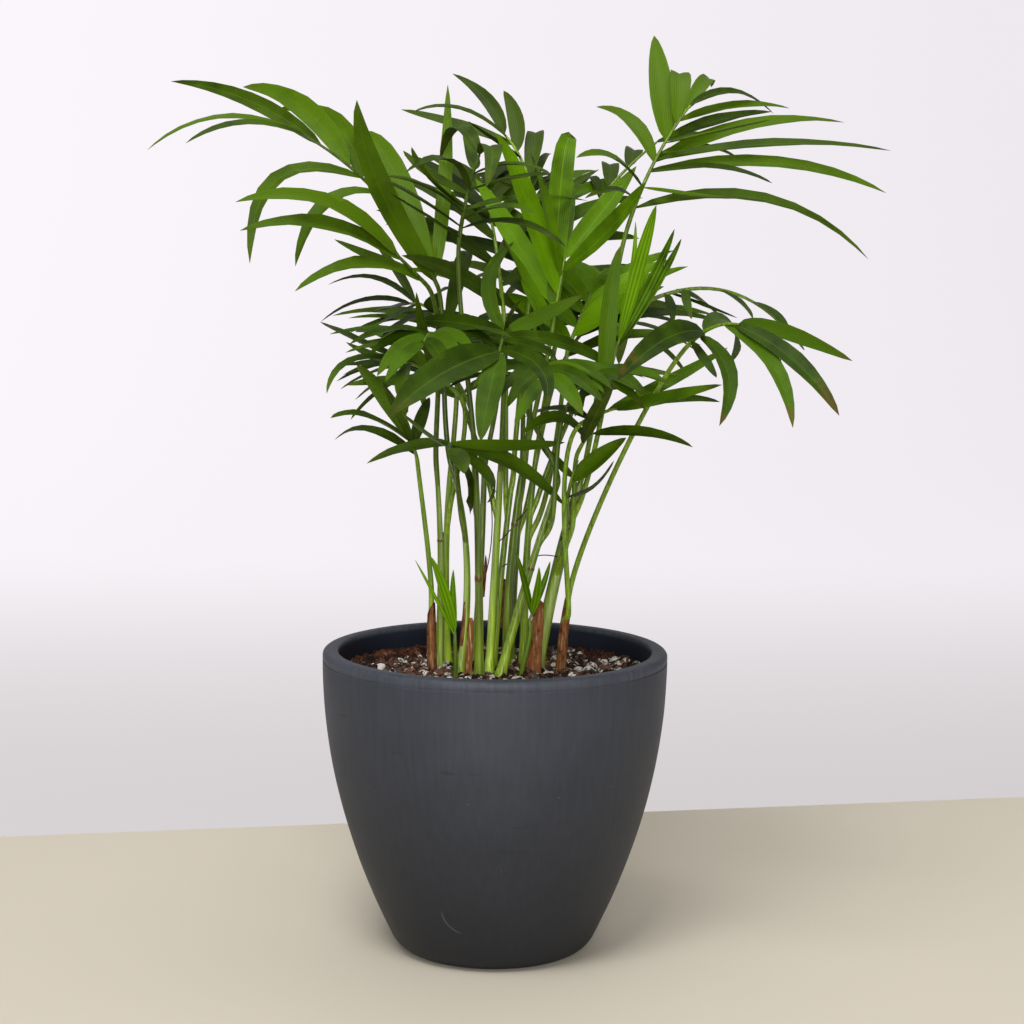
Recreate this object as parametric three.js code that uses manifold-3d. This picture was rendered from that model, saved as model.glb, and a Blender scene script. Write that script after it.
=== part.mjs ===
// A potted parlour palm: a round tapered pot, its potting mix, the stems that rise from the mix, and the
// pinnate fronds that the stems carry. Millimetres, +Z up, the pot's axis is the Z axis, and the pot's flat
// underside lies at z = 0. The front of the plant looks towards -Y.
import * as THREE from 'three';
import { mergeVertices } from 'three/addons/utils/BufferGeometryUtils.js';
import Module from 'manifold-3d';

// ---------------------------------------------------------------- driving dimensions, mm
const GAP = 0.3;                 // clearance between two solids that rest on each other
const POT = {
  height: 158.7,
  rimRadius: 90,                 // widest, just under the lip
  lipTopRadius: 87.5,
  mouthRadius: 81.8,
  widestHeight: 154,
  bellyCurve: 0.00169,           // radius lost for each mm squared below the widest height
  footRound: 7,                  // radius of the rounded edge of the base
  softening: 1,                  // rounding of the mouth's edge
  wall: 8,
  floor: 10,
  sides: 48,
  outerSteps: 5,
  innerSteps: 3,
};
const MIX = {
  level: 147.5,                  // flat middle of the surface
  levelShare: 0.72,              // radius of the flat middle as a share of the mouth's
  edgeDrop: 3,                   // the surface falls by this much to the wall
  wallGap: 1.25,
  steps: 4,
};
const STEM = {
  foot: MIX.level + GAP,         // height of the level cut that stands on the mix
  flare: 0.8,                    // extra radius at the foot
  flareShare: 0.12,              // share of the stem that the flare takes
  cutReach: 2,                   // what lies this little above the cut belongs to it
  sides: 6,
  steps: 5,
};
const HUSK = { topShare: 0.55, sides: 8, steps: 3 };
const STALK = {
  foot: 1.5,                     // radius where the stalk leaves the stem
  neck: 1.15,                    // radius at the first leaflets
  endGap: 0.4,                   // between a stem's top and the stalk on it
  sideGap: 0.5,                  // between a stem's side and a stalk beside it
  splitGap: 0.5,                 // between a stalk and a frond that is a solid of its own
  outward: 0.22,                 // lean of a stalk that leaves a stem's side
  stiffness: 0.2,                // share of its length that a stalk keeps to its first and last ways
  leanStep: 4,                   // sideways lean that is tried, up to the most, every 'leanTurn' degrees
  maxLean: 24,
  leanTurn: 45,
  sides: 4,
  steps: 6,
};
const RIB = { tip: 0.75, steps: 5 };                        // the stalk's run on between the leaflets
const BLADE = {
  thickness: 0.6,                // keel below the middle line
  fold: 0.25,                    // rise of the edges for each mm of half width
  foot: 0.45,                    // half width of the foot, which is sunk in the rib
  measuredSteps: 4,              // along a measured blade
  ruledSteps: 3,
  louvre: 0.4,                   // lean of each blade's upper side towards the end of the rib
  turn: 0.5,                     // turn of a ruled blade's upper side to the front
  deepest: 60,                   // a measured tip is at most this much nearer or farther than its root
  shifts: [0, 5, -5, 10, -10, 15, -15, 20, -20, 26, -26, 33, -33, 41, -41, 50, -50],
};
const SPRAY = {
  first: 0.05,                   // place of the first leaflet on the rib
  shortest: 0.72,                // shortest leaflet as a share of the longest
  longestAt: 0.25,               // how far before the middle of the rib the longest one is
  placeVaries: 0.2,
  spreadVaries: 8,
  lengthVaries: 0.2,
  droopVaries: 0.4,
  widthVaries: 0.3,
};

// The crown is measured as it is seen from the front: x and z on the upright plane through the pot's axis,
// sighted from EYE, and y as the depth behind that plane. seen() gives the place in space for x, y, z.
const EYE = new THREE.Vector3(8.2, -1192.6, 378);
const UP = new THREE.Vector3(0, 0, 1);
const FRONT = new THREE.Vector3(0, -1, 0);

function seen(x, y, z) {
  const spread = 1 - y / EYE.y;
  return new THREE.Vector3(EYE.x + (x - EYE.x) * spread, y, EYE.z + (z - EYE.z) * spread);
}

// Stems: foot [x, y] on the mix, a point halfway and the top, both as seen, and the foot and top radius.
const STEMS = [
  { name: 'stem_far_left_sheath', radius: [2.6, 1.5],
    foot: [-33, -4], half: [-33.4, -4, 167], top: [-33.4, -4, 185] },
  { name: 'stem_left_back', radius: [2.1, 1.2],
    foot: [-30, 9], half: [-28.7, 8, 203], top: [-31.2, 6, 254] },
  { name: 'stem_left_mid', radius: [2.1, 1.5],
    foot: [-25, 16], half: [-26, 12, 202], top: [-24, 10, 250] },
  { name: 'stem_left_front', radius: [2.2, 1.2],
    foot: [-18, -13], half: [-15, -11, 202], top: [-22, -12, 250] },
  { name: 'stem_main', radius: [2.4, 1.4],
    foot: [-8, -18], half: [-9, -18, 205], top: [-11.4, -20, 262] },
  { name: 'stem_centre', radius: [2.3, 1.6],
    foot: [-3, -14], half: [-0.3, -12, 203], top: [2, -14, 252] },
  { name: 'stem_leaning', radius: [2.6, 1.4],
    foot: [3, -19], half: [16.7, -16, 196], top: [31.5, -13, 245] },
  { name: 'stem_centre_back', radius: [2.0, 1.3],
    foot: [-1, 3], half: [3.4, 6, 203], top: [8.8, 12, 252] },
  { name: 'stem_right_mid', radius: [2.4, 1.5],
    foot: [6, -2], half: [7.5, -1, 200], top: [13, 1, 250] },
  { name: 'stem_right_back', radius: [2.3, 1.5],
    foot: [15, 12], half: [16, 14, 205], top: [19.5, 15, 252] },
  { name: 'stem_thick_cane', radius: [3.6, 2.7],
    foot: [22, 2], half: [31.2, 2, 197], top: [43.4, 2, 246] },
  { name: 'stem_far_right_sheath', radius: [2.8, 1.7],
    foot: [34, -5], half: [35.6, -5, 167], top: [38.2, -5, 187] },
  { name: 'stem_back_left', radius: [2.2, 1.5],
    foot: [-11, 20], half: [-8, 24, 200], top: [-6.4, 28, 250] },
  { name: 'stem_back_right', radius: [2.2, 1.5],
    foot: [8, 24], half: [10, 28, 200], top: [13, 34, 250] },
];

// Dry husks that stand beside the stems: foot [x, y], top as seen, half width and half thickness.
const HUSKS = [
  { name: 'husk_brown', foot: [20, -14], top: [23, -12, 186], half: [3.6, 1.3] },
  { name: 'husk_straw', foot: [-14, -19], top: [-12.5, -19.5, 176], half: [1.5, 0.8] },
];

// Fronds. A frond rises from a stem: 'at' is the place along the stem, and 1 is its top. One with a foot
// [x, y] rises from the mix. rib is the crown, the middle and the end of the rib, as seen. reach is the
// length of its leaflets and face the tilt of their upper side to the front, in degrees. The stalk of a
// frond that is split is a solid of its own.
// leaflets: [place on the rib, x and z of the middle and of the tip as seen, -1 towards or 1 away, width].
// sprays, in place of leaflets: [pairs, spread at the crown, spread at the end, droop, width, rise], with
// the spread and rise in degrees.
const FRONDS = [
  { name: 'frond_upper_left', stem: 'stem_left_front', at: 1, split: true,
    rib: [[-31, -5, 347], [-62, -15, 394], [-105, -25, 426]], reach: 112, face: 60, leaflets: [
      [0.02, -61, 397, -72.6, 441, -1, 13], [0.05, -55, 408, -72, 424, 1, 13],
      [0.03, -27.5, 400, -26.4, 449, 1, 8], [0.08, -43, 377, -58, 378, 1, 14],
      [0.60, -113, 401, -127.4, 358, -1, 9], [0.50, -88.5, 388, -104, 356.7, -1, 10],
      [0.60, -84, 429, -112, 436.5, 1, 12], [0.68, -101, 437.5, -130.5, 447, 1, 12],
      [0.85, -128, 440.5, -167, 449.5, 1, 9], [0.93, -130, 428.8, -159.7, 418.5, -1, 6],
      [1.00, -144, 431.3, -179.3, 415, -1, 5]] },
  { name: 'frond_left', stem: 'stem_left_back', at: 1,
    rib: [[-37, -30, 348], [-48, -40, 359], [-60, -50, 371]], reach: 105, face: 55, leaflets: [
      [0.65, -88.5, 389.7, -134.6, 389, -1, 10], [0.55, -89, 377.8, -132.3, 374.5, -1, 11],
      [0.25, -62, 360.5, -84, 370.5, 1, 6], [0.08, -71, 357.8, -104.3, 343.8, -1, 11]] },
  { name: 'frond_left_shaded', stem: 'stem_left_mid', at: 1,
    rib: [[-25, 20, 325], [-36, 30, 336], [-45, 40, 338]], reach: 90, face: 40, leaflets: [
      [1.00, -69, 339.5, -91, 328.4, 1, 5], [0.95, -55, 336, -65, 333.6, 1, 5],
      [0.85, -64, 351.3, -87.3, 347.3, 1, 4], [0.85, -52, 355, -62, 367, 1, 5],
      [0.30, -33, 341, -24.5, 346.5, -1, 9], [0.35, -46, 329.5, -60, 320.5, -1, 7],
      [0.75, -57, 329.8, -66, 325, 1, 7], [0.04, -17.5, 360.5, -15.5, 362, 1, 10]] },
  { name: 'frond_left_low', stem: 'stem_left_mid', at: 0.8,
    rib: [[-20, -10, 292], [-35, -15, 303], [-48, -20, 308]], reach: 90, face: 55, leaflets: [
      [1.00, -70, 317.5, -91.3, 328.2, -1, 10], [0.95, -62, 310.5, -78, 318, 1, 5],
      [0.40, -55, 321.5, -73.3, 323.3, 1, 8], [0.95, -75, 308.5, -88, 291.5, -1, 6],
      [0.90, -49, 297, -46, 282, -1, 8], [0.30, -37, 322, -42, 344, -1, 8]] },
  { name: 'frond_small_left', stem: 'stem_far_left_sheath', at: 1,
    rib: [[-41, -10, 256], [-42, -12, 261], [-44, -14, 267]], reach: 70, face: 45, leaflets: [
      [0.90, -67, 279.5, -86, 278.8, -1, 8], [0.40, -66, 273, -84, 267.5, 1, 6],
      [1.00, -59, 290.5, -72.5, 306.5, 1, 9], [0.90, -52, 283, -60, 299, -1, 4],
      [0.80, -39, 279, -35, 290, 1, 7]] },
  { name: 'frond_low_front', stem: 'stem_left_front', at: 0.75,
    rib: [[-22, -40, 262], [-24, -70, 266], [-24, -95, 262]], reach: 80, face: 45, leaflets: [
      [0.33, -46, 263.7, -67.3, 255.4, 1, 8], [0.30, 8.5, 255.3, 35.7, 234, 1, 11],
      [0.50, 8, 265, 35.2, 267.3, 1, 7], [0.90, -18.4, 257, -16.7, 250.5, -1, 9],
      [0.10, -35, 269.5, -49.3, 281.7, -1, 7], [0.22, -15, 247, -13.5, 229, 1, 9],
      [0.18, -2.8, 247, -4.7, 235.5, 1, 8]] },
  { name: 'frond_front', stem: 'stem_centre', at: 1,
    rib: [[4, -40, 322], [3, -75, 322], [1, -105, 314]], reach: 90, face: 50, leaflets: [
      [0.60, -30, 323, -61.5, 310, 1, 12], [1.00, -29, 302, -56, 279.5, -1, 17],
      [1.00, -4.3, 291, -8.3, 267.5, -1, 12], [0.95, 21.8, 306, 25.3, 285, -1, 9],
      [0.55, 35, 318, 64.8, 303, 1, 8], [0.30, 23, 332, 43.5, 343.5, 1, 9],
      [0.20, -20, 328.5, -44, 329, 1, 9], [0.70, 27.5, 313, 29, 303, 1, 6],
      [0.10, 7.5, 334, 12, 340.5, -1, 4], [0.05, -5, 349, 8, 370, 1, 8]] },
  { name: 'frond_upright', stem: 'stem_main', at: 1,
    rib: [[-20, -25, 372], [-16, -30, 394], [-10, -35, 414]], reach: 75, face: 40, leaflets: [
      [0.28, -37, 397.5, -58, 403, -1, 7], [0.12, -40, 391, -60, 401.5, -1, 7],
      [0.00, -38, 383.5, -56, 394.5, -1, 6], [0.50, -35, 403.5, -49, 415.8, 1, 7],
      [0.35, -36, 402, -44.6, 417.6, -1, 6], [0.55, -27, 411.5, -48, 404.5, -1, 8],
      [1.00, -21, 427, -30, 412, 1, 9], [1.00, -3.5, 417, -6.5, 397.5, -1, 10],
      [0.55, 5, 401.8, 25.5, 405, -1, 7], [0.75, 6, 409.5, 25.5, 405.3, -1, 5],
      [0.30, 12, 392.8, 45.5, 391.3, 1, 5], [0.20, 1, 387.8, 19, 384.5, -1, 7],
      [0.10, 9, 380, 34.3, 368, -1, 6], [0.80, -14, 413, -18.5, 424, 1, 7]] },
  { name: 'frond_top_shaded', stem: 'stem_centre_back', at: 1,
    rib: [[19, 30, 384], [13, 38, 408], [2, 45, 425]], reach: 65, face: 55, leaflets: [
      [0.98, -6.5, 441.5, -24, 454.6, 1, 8], [0.70, 8.3, 432, 2, 446.3, 1, 9],
      [0.92, -20, 437, -44, 435.3, -1, 6], [0.80, -20, 428.5, -50, 436.4, 1, 7],
      [0.35, 18.3, 424, 17.5, 420, 1, 10], [0.25, 22, 411.5, 26.3, 414.7, 1, 5],
      [0.10, 25, 398, 28.5, 409, 1, 6], [0.15, 8, 397, -1, 401, -1, 6],
      [0.62, -3, 421.5, -16, 431, -1, 6]] },
  { name: 'frond_centre_fan', stem: 'stem_right_mid', at: 1,
    rib: [[28, 0, 325], [31, 0, 345], [34, 0, 362]], reach: 95, face: 75, leaflets: [
      [0.80, 56, 376, 75, 401, -1, 12], [1.00, 51.5, 384, 70, 409, 1, 12],
      [0.95, 36, 385, 38, 401.5, 1, 6], [0.05, 32.5, 409, 38.5, 419, 1, 12],
      [0.70, 24, 389, 16.2, 415, -1, 7], [0.45, 13, 394, -2.3, 425, -1, 12],
      [0.30, 8, 372, -12, 402, 1, 12], [0.10, 12, 354, 2, 373, -1, 8],
      [0.20, 48, 342.5, 66.5, 350.3, -1, 7], [0.02, 17, 345, 9, 366, 1, 8]] },
  { name: 'frond_top_right', stem: 'stem_thick_cane', at: 1, split: true,
    rib: [[66, -10, 378], [79, -10, 411], [97, -10, 440]], reach: 118, face: 55, leaflets: [
      [0.68, 81.7, 449, 78, 474.5, 1, 13], [0.50, 67, 431.3, 49, 438.7, 1, 9],
      [0.30, 57.5, 413.3, 39.3, 413, -1, 8], [0.20, 59, 397, 44, 392.5, -1, 6],
      [0.82, 91.5, 454.5, 88, 448, 1, 11], [0.95, 104.5, 452.5, 107.3, 449, 1, 8],
      [1.00, 119, 446.8, 139.4, 436, 1, 6], [0.85, 120, 440, 147.5, 438.8, 1, 6],
      [0.70, 113, 433, 138.5, 437, 1, 8], [0.50, 128, 430, 175.5, 432, 1, 10],
      [0.66, 112, 427, 138, 433, -1, 5], [0.52, 140, 421, 199.5, 418, 1, 7],
      [0.42, 142, 411, 197.7, 396.6, -1, 9], [0.44, 112, 408.5, 139.5, 401, -1, 7],
      [0.14, 136, 392.7, 189.5, 363, -1, 9], [0.30, 100, 394.5, 121, 393.3, -1, 5],
      [0.55, 103, 419.3, 124, 412, 1, 5], [0.00, 100, 404, 114, 454, 1, 14]] },
  { name: 'frond_right_shaded', stem: 'stem_right_back', at: 1,
    rib: [[45, 60, 380], [58, 70, 400], [80, 80, 421]], reach: 60, face: 40, leaflets: [
      [0.30, 47, 403.5, 40.8, 395, 1, 6], [0.45, 56.5, 409.5, 55.5, 405, 1, 10],
      [0.70, 68.7, 417, 68, 413, 1, 10], [1.00, 95, 424.5, 107, 426, 1, 6]] },
  { name: 'frond_new_spear', young: true, stem: 'stem_thick_cane', at: 0.9,
    rib: [[58, -25, 303], [60, -25, 312], [63, -25, 322]], reach: 80, face: 80, leaflets: [
      [0.90, 73, 362, 80.5, 389.5, -1, 11], [0.80, 79.5, 352.5, 90, 377.3, 1, 8],
      [0.70, 82, 350, 93.6, 372.5, 1, 7], [0.90, 68.5, 352, 70, 381, 1, 6]] },
  { name: 'frond_right_arching', stem: 'stem_right_back', at: 0.85, split: true,
    rib: [[78, 30, 341], [118, 35, 345.8], [152, 40, 322.5]], reach: 45, face: 35, leaflets: [
      [0.10, 88.5, 338, 90, 329, -1, 6], [0.22, 96.5, 339.5, 99.5, 331.5, -1, 6],
      [0.15, 104, 341, 115, 331.5, 1, 8], [0.12, 105, 338.8, 123, 332.3, 1, 4],
      [0.45, 124.5, 340, 131, 332.3, -1, 6], [0.68, 143, 333.5, 149.5, 324, -1, 7],
      [1.00, 155, 319.5, 158, 316, 1, 4]] },
  { name: 'frond_right_front', stem: 'stem_far_right_sheath', at: 1, split: true,
    rib: [[99, -50, 319], [111, -60, 327.5], [124, -70, 329]], reach: 80, face: 55, leaflets: [
      [0.30, 86, 321, 61.5, 299.5, -1, 14], [1.00, 149, 324.5, 182.8, 310.8, 1, 9],
      [0.92, 153, 310.5, 176.8, 282.5, -1, 10], [0.70, 141.5, 309, 153, 276, -1, 9],
      [0.20, 119, 304, 115, 276.6, -1, 9], [0.00, 94.5, 303, 94.8, 279, 1, 8],
      [0.05, 107, 309.5, 113, 301.5, -1, 6], [1.00, 140, 326, 146, 308.5, 1, 6],
      [0.80, 123, 320, 119.5, 309, 1, 6], [0.30, 113, 331.5, 121, 329, 1, 9]] },
  { name: 'frond_right_mid', stem: 'stem_far_right_sheath', at: 0.8,
    rib: [[45, -30, 278], [55, -40, 283], [62, -45, 285]], reach: 75, face: 55, leaflets: [
      [0.90, 88, 290.3, 116, 297.8, -1, 10], [1.00, 92, 290.5, 115, 289, 1, 5],
      [0.60, 90, 300, 118.5, 317, 1, 7], [0.50, 57, 335, 62.5, 368.5, 1, 9],
      [0.10, 31, 284.5, 13.5, 280, 1, 8]] },
  { name: 'frond_right_low', stem: 'stem_thick_cane', at: 0.75,
    rib: [[42, -9, 262], [46, -13, 269], [50, -17, 272]], reach: 75, face: 55, leaflets: [
      [1.00, 77, 272.3, 101.5, 265.3, -1, 8], [0.50, 31, 280, 13, 271.5, -1, 8],
      [0.30, 52, 284, 60, 298, -1, 8]] },
  { name: 'frond_at_cane_node', stem: 'stem_thick_cane', at: 0.62,
    rib: [[37, -15, 238], [39, -18, 248], [42, -20, 258]], reach: 55, face: 50, leaflets: [
      [0.45, 53.5, 259, 67, 270, 1, 11], [0.05, 50, 243.5, 60.8, 258, -1, 9],
      [0.55, 30.3, 257.5, 20, 268.5, 1, 6]] },
  { name: 'frond_back_left', stem: 'stem_back_left', at: 1,
    rib: [[0, 40, 300], [-14, 75, 325], [-28, 115, 322]],
    reach: 85, seed: 1, sprays: [6, 65, 25, 0.7, 9, 15] },
  { name: 'frond_back', stem: 'stem_back_right', at: 1,
    rib: [[14, 45, 310], [20, 85, 345], [28, 130, 345]],
    reach: 90, seed: 2, sprays: [6, 65, 25, 0.7, 9, 15] },
  { name: 'frond_back_right', stem: 'stem_back_right', at: 0.8,
    rib: [[30, 40, 300], [48, 75, 328], [66, 110, 326]],
    reach: 80, seed: 3, sprays: [6, 65, 25, 0.7, 9, 15] },
  { name: 'frond_back_top', stem: 'stem_centre_back', at: 0.85,
    rib: [[3, 15, 334], [-2, 30, 372], [-8, 60, 398]],
    reach: 75, seed: 4, sprays: [5, 60, 25, 0.5, 9, 15] },
  { name: 'frond_core_front', stem: 'stem_leaning', at: 1,
    rib: [[14, -20, 290], [22, -55, 306], [26, -95, 300]],
    reach: 60, seed: 5, sprays: [7, 60, 25, 0.8, 8, 10] },
  { name: 'frond_core_back_left', stem: 'stem_back_left', at: 0.8,
    rib: [[-14, 25, 285], [-28, 55, 305], [-44, 85, 300]],
    reach: 70, seed: 6, sprays: [7, 60, 25, 0.7, 8, 10] },
  { name: 'frond_core_right', stem: 'stem_right_back', at: 0.7,
    rib: [[36, 15, 315], [46, 35, 340], [52, 65, 352]],
    reach: 60, seed: 7, sprays: [7, 60, 25, 0.3, 11, 15] },
  { name: 'frond_core_left', stem: 'stem_centre', at: 0.85,
    rib: [[-24, -5, 305], [-32, -40, 322], [-38, -80, 318]],
    reach: 60, seed: 8, sprays: [7, 60, 25, 0.7, 8, 10] },
  { name: 'frond_core_top', stem: 'stem_right_mid', at: 0.85,
    rib: [[20, 25, 352], [19, 50, 386], [13, 90, 404]],
    reach: 65, seed: 9, sprays: [7, 60, 25, 0.6, 8, 10] },
  { name: 'frond_core_low_right', stem: 'stem_leaning', at: 0.8,
    rib: [[36, -20, 285], [46, -50, 302], [52, -85, 300]],
    reach: 55, seed: 10, sprays: [7, 60, 25, 0.7, 8, 10] },
  { name: 'shoot_left', young: true, foot: [-20, -23],
    rib: [[-21, -23, 162], [-21, -23, 165], [-21, -23, 168]], reach: 48, face: 75, leaflets: [
      [0.50, -32.5, 187.5, -42, 205, -1, 3], [1.00, -27.4, 190, -34.4, 207.5, -1, 9],
      [1.00, -22.2, 184, -22.1, 200.2, 1, 6]] },
  { name: 'shoot_right', young: true, foot: [14, -17],
    rib: [[18, -17, 172], [18, -17, 174], [19, -17, 177]], reach: 40, face: 75, leaflets: [
      [1.00, 15, 193.5, 10.3, 210.3, -1, 6], [1.00, 21.5, 189.5, 22.5, 202, -1, 7],
      [0.60, 24.8, 192.5, 28.3, 205, 1, 5]] },
];

// ---------------------------------------------------------------- materials
const paint = (color, roughness) => new THREE.MeshStandardMaterial({ color, roughness, metalness: 0 });
const POT_FINISH = paint(0x34373c, 0.75);
const MIX_FINISH = paint(0x3a2a22, 0.95);
const GREEN_STEM = paint(0x6f9a35, 0.5);
const DRY_SHEATH = paint(0x6b4423, 0.85);
const LEAF_GREEN = paint(0x3c6a1c, 0.45);
const NEW_LEAF = paint(0x7fae2a, 0.4);

// ---------------------------------------------------------------- solids
const wasm = await Module();
wasm.setup();

function toSolid(geometry) {
  const bare = geometry.clone();
  bare.deleteAttribute('normal');
  bare.deleteAttribute('uv');
  const merged = mergeVertices(bare, 1e-5);
  return new wasm.Manifold(new wasm.Mesh({
    numProp: 3,
    vertProperties: new Float32Array(merged.attributes.position.array),
    triVerts: new Uint32Array(merged.index.array),
  }));
}

function toGeometry(solid) {
  const mesh = solid.getMesh();
  const geometry = new THREE.BufferGeometry();
  geometry.setAttribute('position', new THREE.BufferAttribute(mesh.vertProperties, 3));
  geometry.setIndex(new THREE.BufferAttribute(mesh.triVerts, 1));
  geometry.computeVertexNormals();
  return geometry;
}

const radians = THREE.MathUtils.degToRad;
const between = (from, to) => (t) => from + (to - from) * t;

// Park and Miller's generator, which gives the same draws in any language.
function draws(seed) {
  let state = seed * 7919 + 13;
  return () => {
    state = (state * 16807) % 2147483647;
    return state / 2147483647;
  };
}

// A curve through three points, the second of them halfway.
function through(first, middle, last) {
  const control = middle.clone().multiplyScalar(2).addScaledVector(first, -0.5).addScaledVector(last, -0.5);
  return new THREE.QuadraticBezierCurve3(first, control, last);
}

// Bends an upright cylinder of height 1 along a curve, its upper side turned to face. section(t, x, z) tells
// how far a corner of the cylinder lies across the curve and above it.
function bend(cylinder, curve, face, section) {
  const position = cylinder.attributes.position;
  for (let i = 0; i < position.count; i += 1) {
    const t = THREE.MathUtils.clamp(position.getY(i) + 0.5, 0, 1);
    const along = curve.getTangent(t);
    const across = along.clone().cross(face).normalize();
    const upper = across.clone().cross(along).normalize();
    const [side, rise] = section(t, position.getX(i), position.getZ(i));
    const point = curve.getPoint(t).addScaledVector(across, side).addScaledVector(upper, rise);
    position.setXYZ(i, point.x, point.y, point.z);
  }
  return cylinder;
}

// A tube's section is turned to the front, or up where the tube itself runs to the front.
function tubeFace(curve) {
  const run = curve.getPoint(1).sub(curve.getPoint(0)).normalize();
  return Math.abs(run.y) < 0.8 ? FRONT : UP;
}

function bendTube(curve, radiusAt, sides, steps) {
  const section = (t, x, z) => [x * radiusAt(t), z * radiusAt(t)];
  return bend(new THREE.CylinderGeometry(1, 1, 1, sides, steps), curve, tubeFace(curve), section);
}

// ---------------------------------------------------------------- pot and mix
function potRadius(z) {
  return POT.rimRadius - POT.bellyCurve * (POT.widestHeight - z) ** 2;
}

// Turns an outline of [radius, height] points about the Z axis.
function turned(points) {
  return toSolid(new THREE.LatheGeometry(points, POT.sides).rotateX(Math.PI / 2));
}

function makePot() {
  const { height, footRound, softening, widestHeight } = POT;
  const outline = new THREE.Path();
  outline.moveTo(0, 0);
  outline.lineTo(potRadius(0) - footRound, 0);
  outline.quadraticCurveTo(potRadius(0) - softening, 0, potRadius(footRound), footRound);
  for (let i = 1; i <= POT.outerSteps; i += 1) {
    const z = footRound + ((widestHeight - footRound) * i) / POT.outerSteps;
    outline.lineTo(potRadius(z), z);
  }
  outline.quadraticCurveTo(POT.rimRadius, height - softening, POT.lipTopRadius, height);
  outline.lineTo(POT.mouthRadius + softening, height);
  outline.lineTo(POT.mouthRadius, height - softening);
  for (let i = 0; i <= POT.innerSteps; i += 1) {
    const z = widestHeight + ((POT.floor - widestHeight) * i) / POT.innerSteps;
    outline.lineTo(potRadius(z) - POT.wall, z);
  }
  outline.lineTo(0, POT.floor);
  return turned(outline.getPoints(2));
}

// The mix fills the pot to its level, and its surface falls a little towards the wall.
function makeMix() {
  const bottom = POT.floor + GAP;
  const edge = MIX.level - MIX.edgeDrop;
  const points = [new THREE.Vector2(0, bottom)];
  for (let i = 0; i <= MIX.steps; i += 1) {
    const z = bottom + ((edge - bottom) * i) / MIX.steps;
    points.push(new THREE.Vector2(potRadius(z) - POT.wall - MIX.wallGap, z));
  }
  points.push(new THREE.Vector2(POT.mouthRadius * MIX.levelShare, MIX.level));
  points.push(new THREE.Vector2(0, MIX.level));
  return turned(points);
}

// ---------------------------------------------------------------- stems
const onMix = ([x, y]) => new THREE.Vector3(x, y, STEM.foot);

// Radius along a stem: a flared foot, then an even taper.
function stemRadius(stem) {
  const taper = between(...stem.radius);
  return (t) => taper(t) + STEM.flare * Math.max(0, 1 - t / STEM.flareShare) ** 2;
}

// Cuts the foot level, on the plane of the mix.
function levelFoot(geometry) {
  const position = geometry.attributes.position;
  for (let i = 0; i < position.count; i += 1) {
    if (position.getZ(i) < STEM.foot + STEM.cutReach) {
      position.setZ(i, STEM.foot);
    }
  }
  return geometry;
}

function makeStem(stem) {
  return toSolid(levelFoot(bendTube(stem.curve, stemRadius(stem), STEM.sides, STEM.steps)));
}

function makeHusk(husk) {
  const curve = new THREE.LineCurve3(onMix(husk.foot), seen(...husk.top));
  const [halfWidth, halfDepth] = husk.half;
  const taper = between(1, HUSK.topShare);
  const section = (t, x, z) => [x * halfWidth * taper(t), z * halfDepth * taper(t)];
  const cylinder = new THREE.CylinderGeometry(1, 1, 1, HUSK.sides, HUSK.steps);
  return toSolid(levelFoot(bend(cylinder, curve, FRONT, section)));
}

// ---------------------------------------------------------------- leaflets
// Width along a blade, as a share: widest before the middle, then a long point.
function bladeShare(t) {
  return Math.max(0, Math.sin(Math.PI * t ** 0.75)) ** 0.65;
}

// A blade with both edges raised and a keel below, that ends in a point. The margin makes it larger all
// round, to test whether it is clear of other solids.
function makeBlade({ curve, width, face, steps }, margin) {
  const keel = -BLADE.thickness - margin;
  const section = (t, x, z) => {
    if (t === 1) {
      return [0, 0];
    }
    const half = Math.max(BLADE.foot, (width / 2) * bladeShare(t)) + margin;
    const edge = BLADE.fold * half + margin;
    if (Math.hypot(x, z) < 1e-6) {
      return [0, (keel + 2 * edge) / 3];
    }
    return z > 0 ? [0, keel] : [-half * Math.sign(x), edge];
  };
  return toSolid(bend(new THREE.CylinderGeometry(0, 1, 1, 3, steps), curve, face, section));
}

// How deep a leaflet's tip lies: what isn't seen of its length runs towards or away.
function tipDepth(root, reach, middle, tip, way) {
  const halfway = seen(middle[0], root.y, middle[1]);
  const shown = root.distanceTo(halfway) + halfway.distanceTo(seen(tip[0], root.y, tip[1]));
  const hidden = Math.sqrt(Math.max(0, reach * reach - shown * shown));
  return root.y + way * Math.min(BLADE.deepest, hidden);
}

function measuredLeaflets(frond) {
  const tilt = radians(frond.face);
  const face = new THREE.Vector3(0, -Math.sin(tilt), Math.cos(tilt));
  return frond.leaflets.map(([place, middleX, middleZ, tipX, tipZ, way, width]) => {
    const root = frond.rib.getPoint(place);
    const depth = tipDepth(root, frond.reach, [middleX, middleZ], [tipX, tipZ], way);
    return {
      width,
      face: face.clone().addScaledVector(frond.rib.getTangent(place), BLADE.louvre),
      steps: BLADE.measuredSteps,
      curveAt: (shift) => {
        const middle = seen(middleX, (root.y + depth + shift) / 2, middleZ);
        return through(root, middle, seen(tipX, depth + shift, tipZ));
      },
    };
  });
}

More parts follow.
